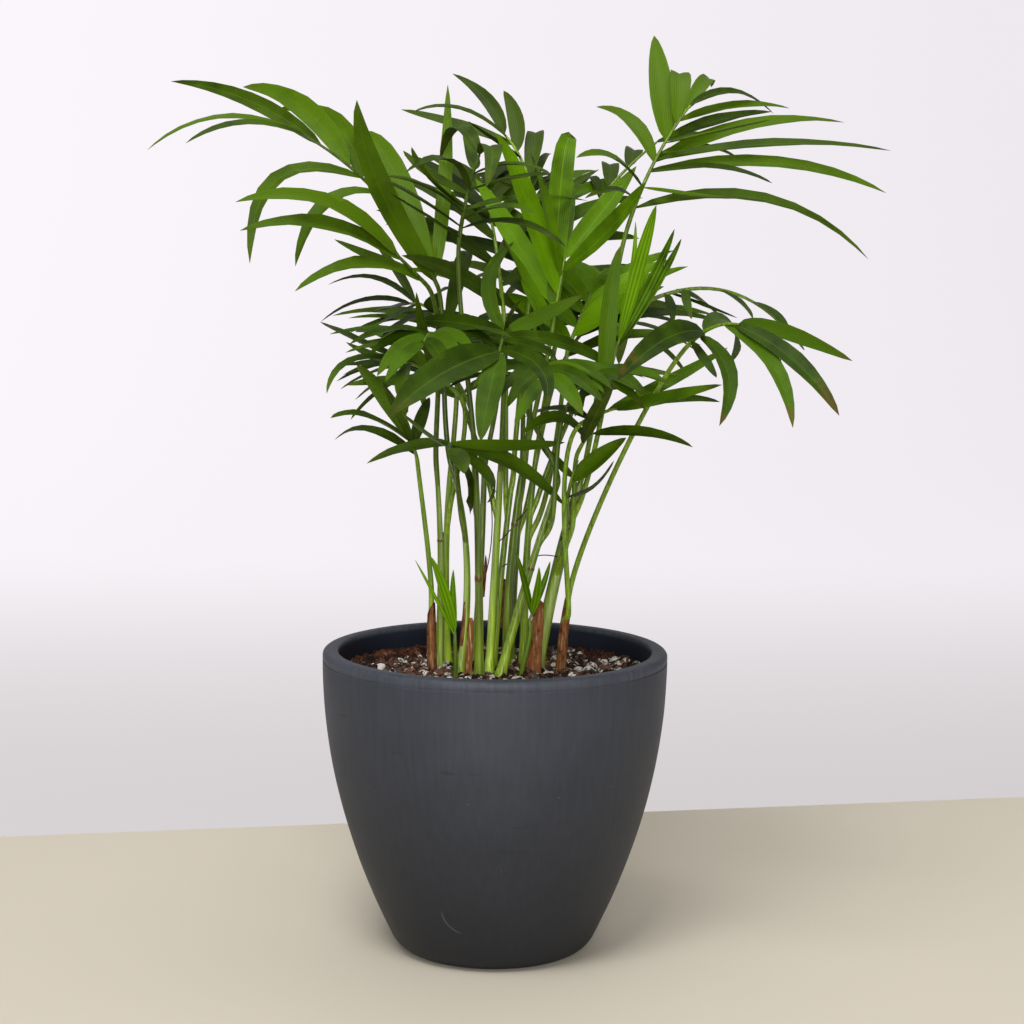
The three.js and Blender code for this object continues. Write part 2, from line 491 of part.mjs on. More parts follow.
// One leaflet of a ruled frond. Leaflets alternate from side to side, spread less towards the rib's end and
// droop in their outer half.
function ruledLeaflet(frond, index, draw) {
  const [pairs, spreadAtCrown, spreadAtEnd, droop, width, rise] = frond.sprays;
  const vary = (amount) => amount * (draw() - 0.5);
  const side = index % 2 ? 1 : -1;
  const step = index / 2 + vary(SPRAY.placeVaries);
  const place = THREE.MathUtils.clamp(SPRAY.first + ((1 - SPRAY.first) * step) / (pairs - 0.5), 0, 1);
  const root = frond.rib.getPoint(place);
  const along = frond.rib.getTangent(place);
  const across = new THREE.Vector3(along.y, -along.x, 0).normalize();
  const upper = across.clone().cross(along).normalize();
  const spread = radians(spreadAtCrown + (spreadAtEnd - spreadAtCrown) * place + vary(SPRAY.spreadVaries));
  const lift = radians(rise);
  const out = along.clone().multiplyScalar(Math.cos(spread));
  out.addScaledVector(across, side * Math.cos(lift) * Math.sin(spread));
  out.addScaledVector(upper, Math.sin(lift) * Math.sin(spread)).normalize();
  const fullness = Math.sin(Math.PI * Math.min(1, place + SPRAY.longestAt));
  const share = SPRAY.shortest + (1 - SPRAY.shortest) * fullness;
  const length = frond.reach * share * (1 + vary(SPRAY.lengthVaries));
  const down = out.clone().addScaledVector(UP, -droop * (1 + vary(SPRAY.droopVaries))).normalize();
  const tip = root.clone().addScaledVector(out, length / 2).addScaledVector(down, length / 2);
  const sight = tip.clone().sub(EYE).divideScalar(-EYE.y);
  const leaving = root.clone().addScaledVector(out, length / 3);
  return {
    width: width * (1 + vary(SPRAY.widthVaries)),
    face: upper.addScaledVector(along, BLADE.louvre).addScaledVector(FRONT, BLADE.turn),
    steps: BLADE.ruledSteps,
    curveAt: (shift) => {
      const end = tip.clone().addScaledVector(sight, shift);
      const ending = end.clone().addScaledVector(down, -length / 3);
      return new THREE.CubicBezierCurve3(root, leaving, ending, end);
    },
  };
}

function ruledLeaflets(frond) {
  const draw = draws(frond.seed);
  return Array.from({ length: 2 * frond.sprays[0] }, (_, index) => ruledLeaflet(frond, index, draw));
}

// ---------------------------------------------------------------- keeping clear of each other
const placed = [];               // the solids that are already in place, with their boxes and owners

function place(solid, owner) {
  placed.push({ solid, box: solid.boundingBox(), owner });
}

function boxesMeet(a, b) {
  return [0, 1, 2].every((axis) => a.min[axis] <= b.max[axis] && a.max[axis] >= b.min[axis]);
}

function isClear(solid, owner) {
  const box = solid.boundingBox();
  const near = placed.filter((other) => other.owner !== owner && boxesMeet(box, other.box));
  return near.every((other) => solid.intersect(other.solid).isEmpty());
}

// Where a stalk starts and the way it leaves: from the mix, from a stem's top, or beside the stem.
function stalkStart(frond) {
  if (frond.foot) {
    return { start: onMix(frond.foot), way: UP };
  }
  const stem = STEMS.find(({ name }) => name === frond.stem);
  const along = stem.curve.getTangent(frond.at);
  const point = stem.curve.getPoint(frond.at);
  if (frond.at === 1) {
    return { start: point.addScaledVector(along, STALK.endGap), way: along };
  }
  const out = frond.rib.getPoint(0).sub(point).setZ(0).normalize();
  const aside = stemRadius(stem)(frond.at) + STALK.foot + STALK.sideGap;
  const way = along.addScaledVector(out, STALK.outward).normalize();
  return { start: point.addScaledVector(out, aside), way };
}

// The stalk is one tube with the rib, unless the frond is split. The margin makes it thicker all round.
function makeStalk(frond, curve, margin) {
  if (frond.split) {
    const radiusAt = between(STALK.foot + margin, STALK.neck + margin);
    return toSolid(bendTube(curve, radiusAt, STALK.sides, STALK.steps));
  }
  const whole = new THREE.CurvePath();
  whole.add(curve);
  whole.add(frond.rib);
  const radiusAt = between(STALK.foot + margin, RIB.tip + margin);
  return toSolid(bendTube(whole, radiusAt, STALK.sides, STALK.steps + RIB.steps));
}

// The stalk from its stem to the frond's crown. It leans aside by the least step that clears the rest.
function clearStalk(frond) {
  const { start, way } = stalkStart(frond);
  const arriving = frond.rib.getTangent(0);
  const end = frond.rib.getPoint(0).addScaledVector(arriving, frond.split ? -STALK.splitGap : 0);
  const hold = STALK.stiffness * start.distanceTo(end);
  const leave = start.clone().addScaledVector(way, hold);
  const arrive = end.clone().addScaledVector(arriving, -hold);
  for (let lean = 0; lean <= STALK.maxLean; lean += STALK.leanStep) {
    for (let turn = 0; turn < 360; turn += STALK.leanTurn) {
      const aside = new THREE.Vector3(lean, 0, 0).applyAxisAngle(UP, radians(turn));
      const [first, second] = [leave.clone().add(aside), arrive.clone().add(aside)];
      const curve = new THREE.CubicBezierCurve3(start, first, second, end);
      if (isClear(makeStalk(frond, curve, GAP), frond.name)) {
        return makeStalk(frond, curve, 0);
      }
    }
  }
  throw new Error(`no clear way for the stalk of ${frond.name}`);
}

// The leaflet's blade, moved along the line of sight to where it is clear, which keeps the crown's outline.
// A twisted blade can stand out of the thicker one a little, so both are tested.
function clearBlade(leaflet, owner) {
  for (const shift of BLADE.shifts) {
    const curve = leaflet.curveAt(shift);
    const [thicker, blade] = [GAP, 0].map((margin) => makeBlade({ ...leaflet, curve }, margin));
    if (isClear(thicker, owner) && isClear(blade, owner)) {
      return blade;
    }
  }
  return null;
}

// ---------------------------------------------------------------- fronds
function placeRib(frond) {
  frond.rib = through(...frond.rib.map((point) => seen(...point)));
  frond.solid = toSolid(bendTube(frond.rib, between(STALK.neck, RIB.tip), STALK.sides, RIB.steps));
  place(frond.solid, frond.name);
}

// The stalk of a split frond is a solid of its own.
function placeStalk(frond) {
  const stalk = clearStalk(frond);
  if (frond.split) {
    frond.stalk = stalk;
    place(stalk, `${frond.name} stalk`);
    return;
  }
  frond.solid = stalk;
  place(stalk, frond.name);
}

function growLeaflets(frond) {
  const leaflets = frond.leaflets ? measuredLeaflets(frond) : ruledLeaflets(frond);
  for (const leaflet of leaflets) {
    const blade = clearBlade(leaflet, frond.name);
    if (blade) {
      place(blade, frond.name);
      frond.solid = frond.solid.add(blade);
    }
  }
}

// ---------------------------------------------------------------- the object
const palm = new THREE.Group();

function addMesh(name, solid, finish) {
  const mesh = new THREE.Mesh(toGeometry(solid), finish);
  mesh.name = name;
  palm.add(mesh);
}

addMesh('pot', makePot(), POT_FINISH);
addMesh('potting_mix', makeMix(), MIX_FINISH);
for (const stem of STEMS) {
  stem.curve = through(onMix(stem.foot), seen(...stem.half), seen(...stem.top));
  const solid = makeStem(stem);
  place(solid, stem.name);
  addMesh(stem.name, solid, stem.name.endsWith('sheath') ? DRY_SHEATH : GREEN_STEM);
}
for (const husk of HUSKS) {
  const solid = makeHusk(husk);
  place(solid, husk.name);
  addMesh(husk.name, solid, DRY_SHEATH);
}
FRONDS.forEach(placeRib);
FRONDS.forEach(placeStalk);
FRONDS.forEach(growLeaflets);
for (const frond of FRONDS) {
  addMesh(frond.name, frond.solid, frond.young ? NEW_LEAF : LEAF_GREEN);
  if (frond.split) {
    addMesh(frond.name.replace('frond', 'stalk'), frond.stalk, GREEN_STEM);
  }
}

export default palm;
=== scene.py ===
"""A potted parlour palm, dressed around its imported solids.

A round charcoal pot holds a coarse bark mix. Slender canes rise from the mix, and each carries feather
fronds: a stalk, a rib and long folded leaflets. Tables are in millimetres, and meshes are made in metres.
"""

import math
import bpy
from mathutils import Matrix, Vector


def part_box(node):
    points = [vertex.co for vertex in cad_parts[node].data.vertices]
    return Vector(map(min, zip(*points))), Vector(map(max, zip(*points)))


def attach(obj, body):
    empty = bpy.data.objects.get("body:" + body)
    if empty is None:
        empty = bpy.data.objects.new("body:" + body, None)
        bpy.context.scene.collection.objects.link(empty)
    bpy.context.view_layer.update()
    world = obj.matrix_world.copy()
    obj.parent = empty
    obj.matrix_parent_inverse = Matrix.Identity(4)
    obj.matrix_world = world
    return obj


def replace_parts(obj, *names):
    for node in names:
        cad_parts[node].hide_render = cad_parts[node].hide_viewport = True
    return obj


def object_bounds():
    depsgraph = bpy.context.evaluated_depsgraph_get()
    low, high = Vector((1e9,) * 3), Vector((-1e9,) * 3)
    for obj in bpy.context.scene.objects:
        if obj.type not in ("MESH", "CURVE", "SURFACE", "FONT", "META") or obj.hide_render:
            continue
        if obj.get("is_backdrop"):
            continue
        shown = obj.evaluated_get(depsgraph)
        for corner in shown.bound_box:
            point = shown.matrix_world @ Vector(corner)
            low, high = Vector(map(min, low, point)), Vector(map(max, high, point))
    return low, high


bl_info = {
    "name": "Potted Parlour Palm",
    "version": (1, 0, 0),
    "blender": (4, 5, 0),
    "location": "View3D > Sidebar > Palm",
    "description": "Builds the pot, the mix, the canes and the fronds of a potted parlour palm",
    "category": "Add Mesh",
}

from dataclasses import dataclass

import bpy
from bpy.props import FloatProperty, FloatVectorProperty, IntProperty, PointerProperty
from mathutils import Matrix, Quaternion, Vector, noise
from mathutils.bvhtree import BVHTree
from mathutils.kdtree import KDTree

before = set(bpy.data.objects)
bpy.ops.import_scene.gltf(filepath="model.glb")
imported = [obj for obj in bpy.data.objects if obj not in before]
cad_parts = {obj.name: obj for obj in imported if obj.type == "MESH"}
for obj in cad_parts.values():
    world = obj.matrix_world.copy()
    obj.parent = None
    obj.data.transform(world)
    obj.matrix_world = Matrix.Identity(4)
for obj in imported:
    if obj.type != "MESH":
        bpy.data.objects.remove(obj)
CAD_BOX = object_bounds()
POT_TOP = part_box("pot")[1]
MIX_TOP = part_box("potting_mix")[1]

MM = 0.001
UP = Vector((0, 0, 1))
FRONT = Vector((0, -1, 0))

# The crown is measured as it is seen from the front: x and z on the upright plane through the pot's axis,
# sighted from EYE, and y as the depth behind that plane.
EYE = Vector((8.2, -1192.6, 378))


def seen(x, y, z):
    """The place in space of a point that is measured as seen."""
    spread = 1 - y / EYE.y
    return Vector((EYE.x + (x - EYE.x) * spread, y, EYE.z + (z - EYE.z) * spread))


# ---------------------------------------------------------------- what grows where, mm
@dataclass
class Stem:
    """A cane: its radius at the foot and the top, its foot on the mix, and two places as seen."""

    name: str
    radius: tuple
    foot: tuple
    half: tuple
    top: tuple


@dataclass
class Frond:
    """A frond: the stem and the place on it that it leaves, or its foot on the mix, and its rib as seen.

    reach is the length of its longest leaflets, and face the turn of their upper sides from up to the front.
    leaflets are (place on the rib, x and z of the middle and of the tip as seen, way, width), and the way is
    -1 towards the front or 1 away from it.
    sprays, in place of leaflets, are (pairs, spread at the crown and at the end, droop, width, rise).
    """

    name: str
    rib: tuple
    reach: float
    stem: str = ""
    foot: tuple = ()
    at: float = 1
    split: bool = False
    young: bool = False
    face: float = 50
    leaflets: tuple = ()
    sprays: tuple = ()
    seed: int = 0


STEMS = (
    Stem("stem_far_left_sheath", (2.6, 1.5), (-33, -4), (-33.4, -4, 167), (-33.4, -4, 185)),
    Stem("stem_left_back", (2.1, 1.2), (-30, 9), (-28.7, 8, 203), (-31.2, 6, 254)),
    Stem("stem_left_mid", (2.1, 1.5), (-25, 16), (-26, 12, 202), (-24, 10, 250)),
    Stem("stem_left_front", (2.2, 1.2), (-18, -13), (-15, -11, 202), (-22, -12, 250)),
    Stem("stem_main", (2.4, 1.4), (-8, -18), (-9, -18, 205), (-11.4, -20, 262)),
    Stem("stem_centre", (2.3, 1.6), (-3, -14), (-0.3, -12, 203), (2, -14, 252)),
    Stem("stem_leaning", (2.6, 1.4), (3, -19), (16.7, -16, 196), (31.5, -13, 245)),
    Stem("stem_centre_back", (2.0, 1.3), (-1, 3), (3.4, 6, 203), (8.8, 12, 252)),
    Stem("stem_right_mid", (2.4, 1.5), (6, -2), (7.5, -1, 200), (13, 1, 250)),
    Stem("stem_right_back", (2.3, 1.5), (15, 12), (16, 14, 205), (19.5, 15, 252)),
    Stem("stem_thick_cane", (3.6, 2.7), (22, 2), (31.2, 2, 197), (43.4, 2, 246)),
    Stem("stem_far_right_sheath", (2.8, 1.7), (34, -5), (35.6, -5, 167), (38.2, -5, 187)),
    Stem("stem_back_left", (2.2, 1.5), (-11, 20), (-8, 24, 200), (-6.4, 28, 250)),
    Stem("stem_back_right", (2.2, 1.5), (8, 24), (10, 28, 200), (13, 34, 250)),
)

FRONDS = (
    Frond("frond_upper_left", stem="stem_left_front", at=1, split=True,
      rib=((-31, -5, 347), (-62, -15, 394), (-105, -25, 426)), reach=112, face=60, leaflets=(
        (0.02, -61, 397, -72.6, 441, -1, 13), (0.05, -55, 408, -72, 424, 1, 13),
        (0.03, -27.5, 400, -26.4, 449, 1, 8), (0.08, -43, 377, -58, 378, 1, 14),
        (0.60, -113, 401, -127.4, 358, -1, 9), (0.50, -88.5, 388, -104, 356.7, -1, 10),
        (0.60, -84, 429, -112, 436.5, 1, 12), (0.68, -101, 437.5, -130.5, 447, 1, 12),
        (0.85, -128, 440.5, -167, 449.5, 1, 9), (0.93, -130, 428.8, -159.7, 418.5, -1, 6),
        (1.00, -144, 431.3, -179.3, 415, -1, 5))),
    Frond("frond_left", stem="stem_left_back", at=1,
      rib=((-37, -30, 348), (-48, -40, 359), (-60, -50, 371)), reach=105, face=55, leaflets=(
        (0.65, -88.5, 389.7, -134.6, 389, -1, 10), (0.55, -89, 377.8, -132.3, 374.5, -1, 11),
        (0.25, -62, 360.5, -84, 370.5, 1, 6), (0.08, -71, 357.8, -104.3, 343.8, -1, 11))),
    Frond("frond_left_shaded", stem="stem_left_mid", at=1,
      rib=((-25, 20, 325), (-36, 30, 336), (-45, 40, 338)), reach=90, face=40, leaflets=(
        (1.00, -69, 339.5, -91, 328.4, 1, 5), (0.95, -55, 336, -65, 333.6, 1, 5),
        (0.85, -64, 351.3, -87.3, 347.3, 1, 4), (0.85, -52, 355, -62, 367, 1, 5),
        (0.30, -33, 341, -24.5, 346.5, -1, 9), (0.35, -46, 329.5, -60, 320.5, -1, 7),
        (0.75, -57, 329.8, -66, 325, 1, 7), (0.04, -17.5, 360.5, -15.5, 362, 1, 10))),
    Frond("frond_left_low", stem="stem_left_mid", at=0.8,
      rib=((-20, -10, 292), (-35, -15, 303), (-48, -20, 308)), reach=90, face=55, leaflets=(
        (1.00, -70, 317.5, -91.3, 328.2, -1, 10), (0.95, -62, 310.5, -78, 318, 1, 5),
        (0.40, -55, 321.5, -73.3, 323.3, 1, 8), (0.95, -75, 308.5, -88, 291.5, -1, 6),
        (0.90, -49, 297, -46, 282, -1, 8), (0.30, -37, 322, -42, 344, -1, 8))),
    Frond("frond_small_left", stem="stem_far_left_sheath", at=1,
      rib=((-41, -10, 256), (-42, -12, 261), (-44, -14, 267)), reach=70, face=45, leaflets=(
        (0.90, -67, 279.5, -86, 278.8, -1, 8), (0.40, -66, 273, -84, 267.5, 1, 6),
        (1.00, -59, 290.5, -72.5, 306.5, 1, 9), (0.90, -52, 283, -60, 299, -1, 4),
        (0.80, -39, 279, -35, 290, 1, 7))),
    Frond("frond_low_front", stem="stem_left_front", at=0.75,
      rib=((-22, -40, 262), (-24, -70, 266), (-24, -95, 262)), reach=80, face=45, leaflets=(
        (0.33, -46, 263.7, -67.3, 255.4, 1, 8), (0.30, 8.5, 255.3, 35.7, 234, 1, 11),
        (0.50, 8, 265, 35.2, 267.3, 1, 7), (0.90, -18.4, 257, -16.7, 250.5, -1, 9),
        (0.10, -35, 269.5, -49.3, 281.7, -1, 7), (0.22, -15, 247, -13.5, 229, 1, 9),
        (0.18, -2.8, 247, -4.7, 235.5, 1, 8))),
    Frond("frond_front", stem="stem_centre", at=1,
      rib=((4, -40, 322), (3, -75, 322), (1, -105, 314)), reach=90, face=50, leaflets=(
        (0.60, -30, 323, -61.5, 310, 1, 12), (1.00, -29, 302, -56, 279.5, -1, 17),
        (1.00, -4.3, 291, -8.3, 267.5, -1, 12), (0.95, 21.8, 306, 25.3, 285, -1, 9),
        (0.55, 35, 318, 64.8, 303, 1, 8), (0.30, 23, 332, 43.5, 343.5, 1, 9),
        (0.20, -20, 328.5, -44, 329, 1, 9), (0.70, 27.5, 313, 29, 303, 1, 6),
        (0.10, 7.5, 334, 12, 340.5, -1, 4), (0.05, -5, 349, 8, 370, 1, 8))),
    Frond("frond_upright", stem="stem_main", at=1,
      rib=((-20, -25, 372), (-16, -30, 394), (-10, -35, 414)), reach=75, face=40, leaflets=(
        (0.28, -37, 397.5, -58, 403, -1, 7), (0.12, -40, 391, -60, 401.5, -1, 7),
        (0.00, -38, 383.5, -56, 394.5, -1, 6), (0.50, -35, 403.5, -49, 415.8, 1, 7),
        (0.35, -36, 402, -44.6, 417.6, -1, 6), (0.55, -27, 411.5, -48, 404.5, -1, 8),
        (1.00, -21, 427, -30, 412, 1, 9), (1.00, -3.5, 417, -6.5, 397.5, -1, 10),
        (0.55, 5, 401.8, 25.5, 405, -1, 7), (0.75, 6, 409.5, 25.5, 405.3, -1, 5),
        (0.30, 12, 392.8, 45.5, 391.3, 1, 5), (0.20, 1, 387.8, 19, 384.5, -1, 7),
        (0.10, 9, 380, 34.3, 368, -1, 6), (0.80, -14, 413, -18.5, 424, 1, 7))),
    Frond("frond_top_shaded", stem="stem_centre_back", at=1,
      rib=((19, 30, 384), (13, 38, 408), (2, 45, 425)), reach=65, face=55, leaflets=(
        (0.98, -6.5, 441.5, -24, 454.6, 1, 8), (0.70, 8.3, 432, 2, 446.3, 1, 9),
        (0.92, -20, 437, -44, 435.3, -1, 6), (0.80, -20, 428.5, -50, 436.4, 1, 7),
        (0.35, 18.3, 424, 17.5, 420, 1, 10), (0.25, 22, 411.5, 26.3, 414.7, 1, 5),
        (0.10, 25, 398, 28.5, 409, 1, 6), (0.15, 8, 397, -1, 401, -1, 6),
        (0.62, -3, 421.5, -16, 431, -1, 6))),
    Frond("frond_centre_fan", stem="stem_right_mid", at=1,
      rib=((28, 0, 325), (31, 0, 345), (34, 0, 362)), reach=95, face=75, leaflets=(
        (0.80, 56, 376, 75, 401, -1, 12), (1.00, 51.5, 384, 70, 409, 1, 12),
        (0.95, 36, 385, 38, 401.5, 1, 6), (0.05, 32.5, 409, 38.5, 419, 1, 12),
        (0.70, 24, 389, 16.2, 415, -1, 7), (0.45, 13, 394, -2.3, 425, -1, 12),
        (0.30, 8, 372, -12, 402, 1, 12), (0.10, 12, 354, 2, 373, -1, 8),
        (0.20, 48, 342.5, 66.5, 350.3, -1, 7), (0.02, 17, 345, 9, 366, 1, 8))),
    Frond("frond_top_right", stem="stem_thick_cane", at=1, split=True,
      rib=((66, -10, 378), (79, -10, 411), (97, -10, 440)), reach=118, face=55, leaflets=(
        (0.68, 81.7, 449, 78, 474.5, 1, 13), (0.50, 67, 431.3, 49, 438.7, 1, 9),
        (0.30, 57.5, 413.3, 39.3, 413, -1, 8), (0.20, 59, 397, 44, 392.5, -1, 6),
        (0.82, 91.5, 454.5, 88, 448, 1, 11), (0.95, 104.5, 452.5, 107.3, 449, 1, 8),
        (1.00, 119, 446.8, 139.4, 436, 1, 6), (0.85, 120, 440, 147.5, 438.8, 1, 6),
        (0.70, 113, 433, 138.5, 437, 1, 8), (0.50, 128, 430, 175.5, 432, 1, 10),
        (0.66, 112, 427, 138, 433, -1, 5), (0.52, 140, 421, 199.5, 418, 1, 7),
        (0.42, 142, 411, 197.7, 396.6, -1, 9), (0.44, 112, 408.5, 139.5, 401, -1, 7),
        (0.14, 136, 392.7, 189.5, 363, -1, 9), (0.30, 100, 394.5, 121, 393.3, -1, 5),
        (0.55, 103, 419.3, 124, 412, 1, 5), (0.00, 100, 404, 114, 454, 1, 14))),
    Frond("frond_right_shaded", stem="stem_right_back", at=1,
      rib=((45, 60, 380), (58, 70, 400), (80, 80, 421)), reach=60, face=40, leaflets=(
        (0.30, 47, 403.5, 40.8, 395, 1, 6), (0.45, 56.5, 409.5, 55.5, 405, 1, 10),
        (0.70, 68.7, 417, 68, 413, 1, 10), (1.00, 95, 424.5, 107, 426, 1, 6))),
    Frond("frond_new_spear", young=True, stem="stem_thick_cane", at=0.9,
      rib=((58, -25, 303), (60, -25, 312), (63, -25, 322)), reach=80, face=80, leaflets=(
        (0.90, 73, 362, 80.5, 389.5, -1, 11), (0.80, 79.5, 352.5, 90, 377.3, 1, 8),
        (0.70, 82, 350, 93.6, 372.5, 1, 7), (0.90, 68.5, 352, 70, 381, 1, 6))),
    Frond("frond_right_arching", stem="stem_right_back", at=0.85, split=True,
      rib=((78, 30, 341), (118, 35, 345.8), (152, 40, 322.5)), reach=45, face=35, leaflets=(
        (0.10, 88.5, 338, 90, 329, -1, 6), (0.22, 96.5, 339.5, 99.5, 331.5, -1, 6),
        (0.15, 104, 341, 115, 331.5, 1, 8), (0.12, 105, 338.8, 123, 332.3, 1, 4),
        (0.45, 124.5, 340, 131, 332.3, -1, 6), (0.68, 143, 333.5, 149.5, 324, -1, 7),
        (1.00, 155, 319.5, 158, 316, 1, 4))),
    Frond("frond_right_front", stem="stem_far_right_sheath", at=1, split=True,
      rib=((99, -50, 319), (111, -60, 327.5), (124, -70, 329)), reach=80, face=55, leaflets=(
        (0.30, 86, 321, 61.5, 299.5, -1, 14), (1.00, 149, 324.5, 182.8, 310.8, 1, 9),
        (0.92, 153, 310.5, 176.8, 282.5, -1, 10), (0.70, 141.5, 309, 153, 276, -1, 9),
        (0.20, 119, 304, 115, 276.6, -1, 9), (0.00, 94.5, 303, 94.8, 279, 1, 8),
        (0.05, 107, 309.5, 113, 301.5, -1, 6), (1.00, 140, 326, 146, 308.5, 1, 6),
        (0.80, 123, 320, 119.5, 309, 1, 6), (0.30, 113, 331.5, 121, 329, 1, 9))),
    Frond("frond_right_mid", stem="stem_far_right_sheath", at=0.8,
      rib=((45, -30, 278), (55, -40, 283), (62, -45, 285)), reach=75, face=55, leaflets=(
        (0.90, 88, 290.3, 116, 297.8, -1, 10), (1.00, 92, 290.5, 115, 289, 1, 5),
        (0.60, 90, 300, 118.5, 317, 1, 7), (0.50, 57, 335, 62.5, 368.5, 1, 9),
        (0.10, 31, 284.5, 13.5, 280, 1, 8))),
    Frond("frond_right_low", stem="stem_thick_cane", at=0.75,
      rib=((42, -9, 262), (46, -13, 269), (50, -17, 272)), reach=75, face=55, leaflets=(
        (1.00, 77, 272.3, 101.5, 265.3, -1, 8), (0.50, 31, 280, 13, 271.5, -1, 8),
        (0.30, 52, 284, 60, 298, -1, 8))),
    Frond("frond_at_cane_node", stem="stem_thick_cane", at=0.62,
      rib=((37, -15, 238), (39, -18, 248), (42, -20, 258)), reach=55, face=50, leaflets=(
        (0.45, 53.5, 259, 67, 270, 1, 11), (0.05, 50, 243.5, 60.8, 258, -1, 9),
        (0.55, 30.3, 257.5, 20, 268.5, 1, 6))),
    Frond("frond_back_left", stem="stem_back_left", at=1,
      rib=((0, 40, 300), (-14, 75, 325), (-28, 115, 322)),
      reach=85, seed=1, sprays=(6, 65, 25, 0.7, 9, 15)),
    Frond("frond_back", stem="stem_back_right", at=1,
      rib=((14, 45, 310), (20, 85, 345), (28, 130, 345)),
      reach=90, seed=2, sprays=(6, 65, 25, 0.7, 9, 15)),
    Frond("frond_back_right", stem="stem_back_right", at=0.8,
      rib=((30, 40, 300), (48, 75, 328), (66, 110, 326)),
      reach=80, seed=3, sprays=(6, 65, 25, 0.7, 9, 15)),
    Frond("frond_back_top", stem="stem_centre_back", at=0.85,
      rib=((3, 15, 334), (-2, 30, 372), (-8, 60, 398)),
      reach=75, seed=4, sprays=(5, 60, 25, 0.5, 9, 15)),
    Frond("frond_core_front", stem="stem_leaning", at=1,
      rib=((14, -20, 290), (22, -55, 306), (26, -95, 300)),
      reach=60, seed=5, sprays=(7, 60, 25, 0.8, 8, 10)),
    Frond("frond_core_back_left", stem="stem_back_left", at=0.8,
      rib=((-14, 25, 285), (-28, 55, 305), (-44, 85, 300)),
      reach=70, seed=6, sprays=(7, 60, 25, 0.7, 8, 10)),
    Frond("frond_core_right", stem="stem_right_back", at=0.7,
      rib=((36, 15, 315), (46, 35, 340), (52, 65, 352)),
      reach=60, seed=7, sprays=(7, 60, 25, 0.3, 11, 15)),
    Frond("frond_core_left", stem="stem_centre", at=0.85,
      rib=((-24, -5, 305), (-32, -40, 322), (-38, -80, 318)),
      reach=60, seed=8, sprays=(7, 60, 25, 0.7, 8, 10)),
    Frond("frond_core_top", stem="stem_right_mid", at=0.85,
      rib=((20, 25, 352), (19, 50, 386), (13, 90, 404)),
      reach=65, seed=9, sprays=(7, 60, 25, 0.6, 8, 10)),
    Frond("frond_core_low_right", stem="stem_leaning", at=0.8,
      rib=((36, -20, 285), (46, -50, 302), (52, -85, 300)),
      reach=55, seed=10, sprays=(7, 60, 25, 0.7, 8, 10)),
    Frond("shoot_left", young=True, foot=(-20, -23),
      rib=((-21, -23, 162), (-21, -23, 165), (-21, -23, 168)), reach=48, face=75, leaflets=(
        (0.50, -32.5, 187.5, -42, 205, -1, 3), (1.00, -27.4, 190, -34.4, 207.5, -1, 9),
        (1.00, -22.2, 184, -22.1, 200.2, 1, 6))),
    Frond("shoot_right", young=True, foot=(14, -17),
      rib=((18, -17, 172), (18, -17, 174), (19, -17, 177)), reach=40, face=75, leaflets=(
        (1.00, 15, 193.5, 10.3, 210.3, -1, 6), (1.00, 21.5, 189.5, 22.5, 202, -1, 7),
        (0.60, 24.8, 192.5, 28.3, 205, 1, 5))),
)

# Leaf scars: the place along the stem, and how far the scar reaches up and down it.
SCARS = {
    "stem_main": ((0.42, 2.4),),
    "stem_right_mid": ((0.74, 1.6),),
    "stem_thick_cane": ((0.8, 2.6),),
    "stem_left_back": ((0.62, 1.0),),
    "stem_leaning": ((0.55, 1.2),),
}
# Dry husks: foot on the mix, top as seen, half width and half depth, and how bleached they are.
HUSKS = {
    "husk_brown": ((20, -14), (23, -12, 186), (4.4, 2.2), 0.45),
    "husk_straw": ((-14, -19), (-12.5, -19.5, 176), (2.2, 1.2), 1.0),
}
# Shreds of old sheath that cling to the canes: both ends as seen, half width, and how bleached they are.
SHREDS = (
    ((-29.8, 11, 150), (-28.6, 10, 172), 1.8, 0.2),
    ((-6.6, -15.5, 186), (-4.8, -15, 209), 1.0, 0.1),
    ((4.2, 5.5, 170), (4.6, 5.5, 197), 2.2, 0.1),
    ((-17.5, -13, 160), (-15.4, -12, 186), 1.5, 0.3),
)
# Black threads of dead sheath, each through three places as seen.
THREADS = (
    ((20.5, -15, 207.5), (26, -10, 208.3), (33, 1, 207.3)),
    ((10.5, -1.5, 226), (13.5, -2, 229), (16.2, -2, 232.5)),
    ((1.3, -13, 215), (4.5, -12, 218), (7.6, -11, 221.6)),
    ((3, 5, 201.5), (5, 3, 203), (7, 1, 204)),
    ((-2.8, -14, 237), (-2.5, -15, 214), (-7, -17, 191)),
    ((-27.2, 11, 220), (-28.6, 10, 211), (-29.3, 9, 202)),
    ((38.6, 0, 223), (35.8, -1.5, 220.5), (33.6, -1, 216)),
)


# ---------------------------------------------------------------- settings
def linear(hex_colour):
    """An sRGB hex value as linear RGBA, which is what the shaders take."""
    shares = [int(hex_colour[i:i + 2], 16) / 255 for i in (1, 3, 5)]
    return (*[s / 12.92 if s <= 0.04045 else ((s + 0.055) / 1.055) ** 2.4 for s in shares], 1.0)


def size_setting(name, default, description):
    """A length in metres."""
    return FloatProperty(
        name=name, description=description, default=default, min=0, unit="LENGTH", precision=5
    )


def share_setting(name, default, description):
    """A share of something else."""
    return FloatProperty(name=name, description=description, default=default, min=0, max=1, subtype="FACTOR")


def colour_setting(name, hex_colour, description):
    """A colour, given as sRGB and kept as linear."""
    return FloatVectorProperty(
        name=name, description=description, default=linear(hex_colour), size=4, min=0, max=1, subtype="COLOR"
    )


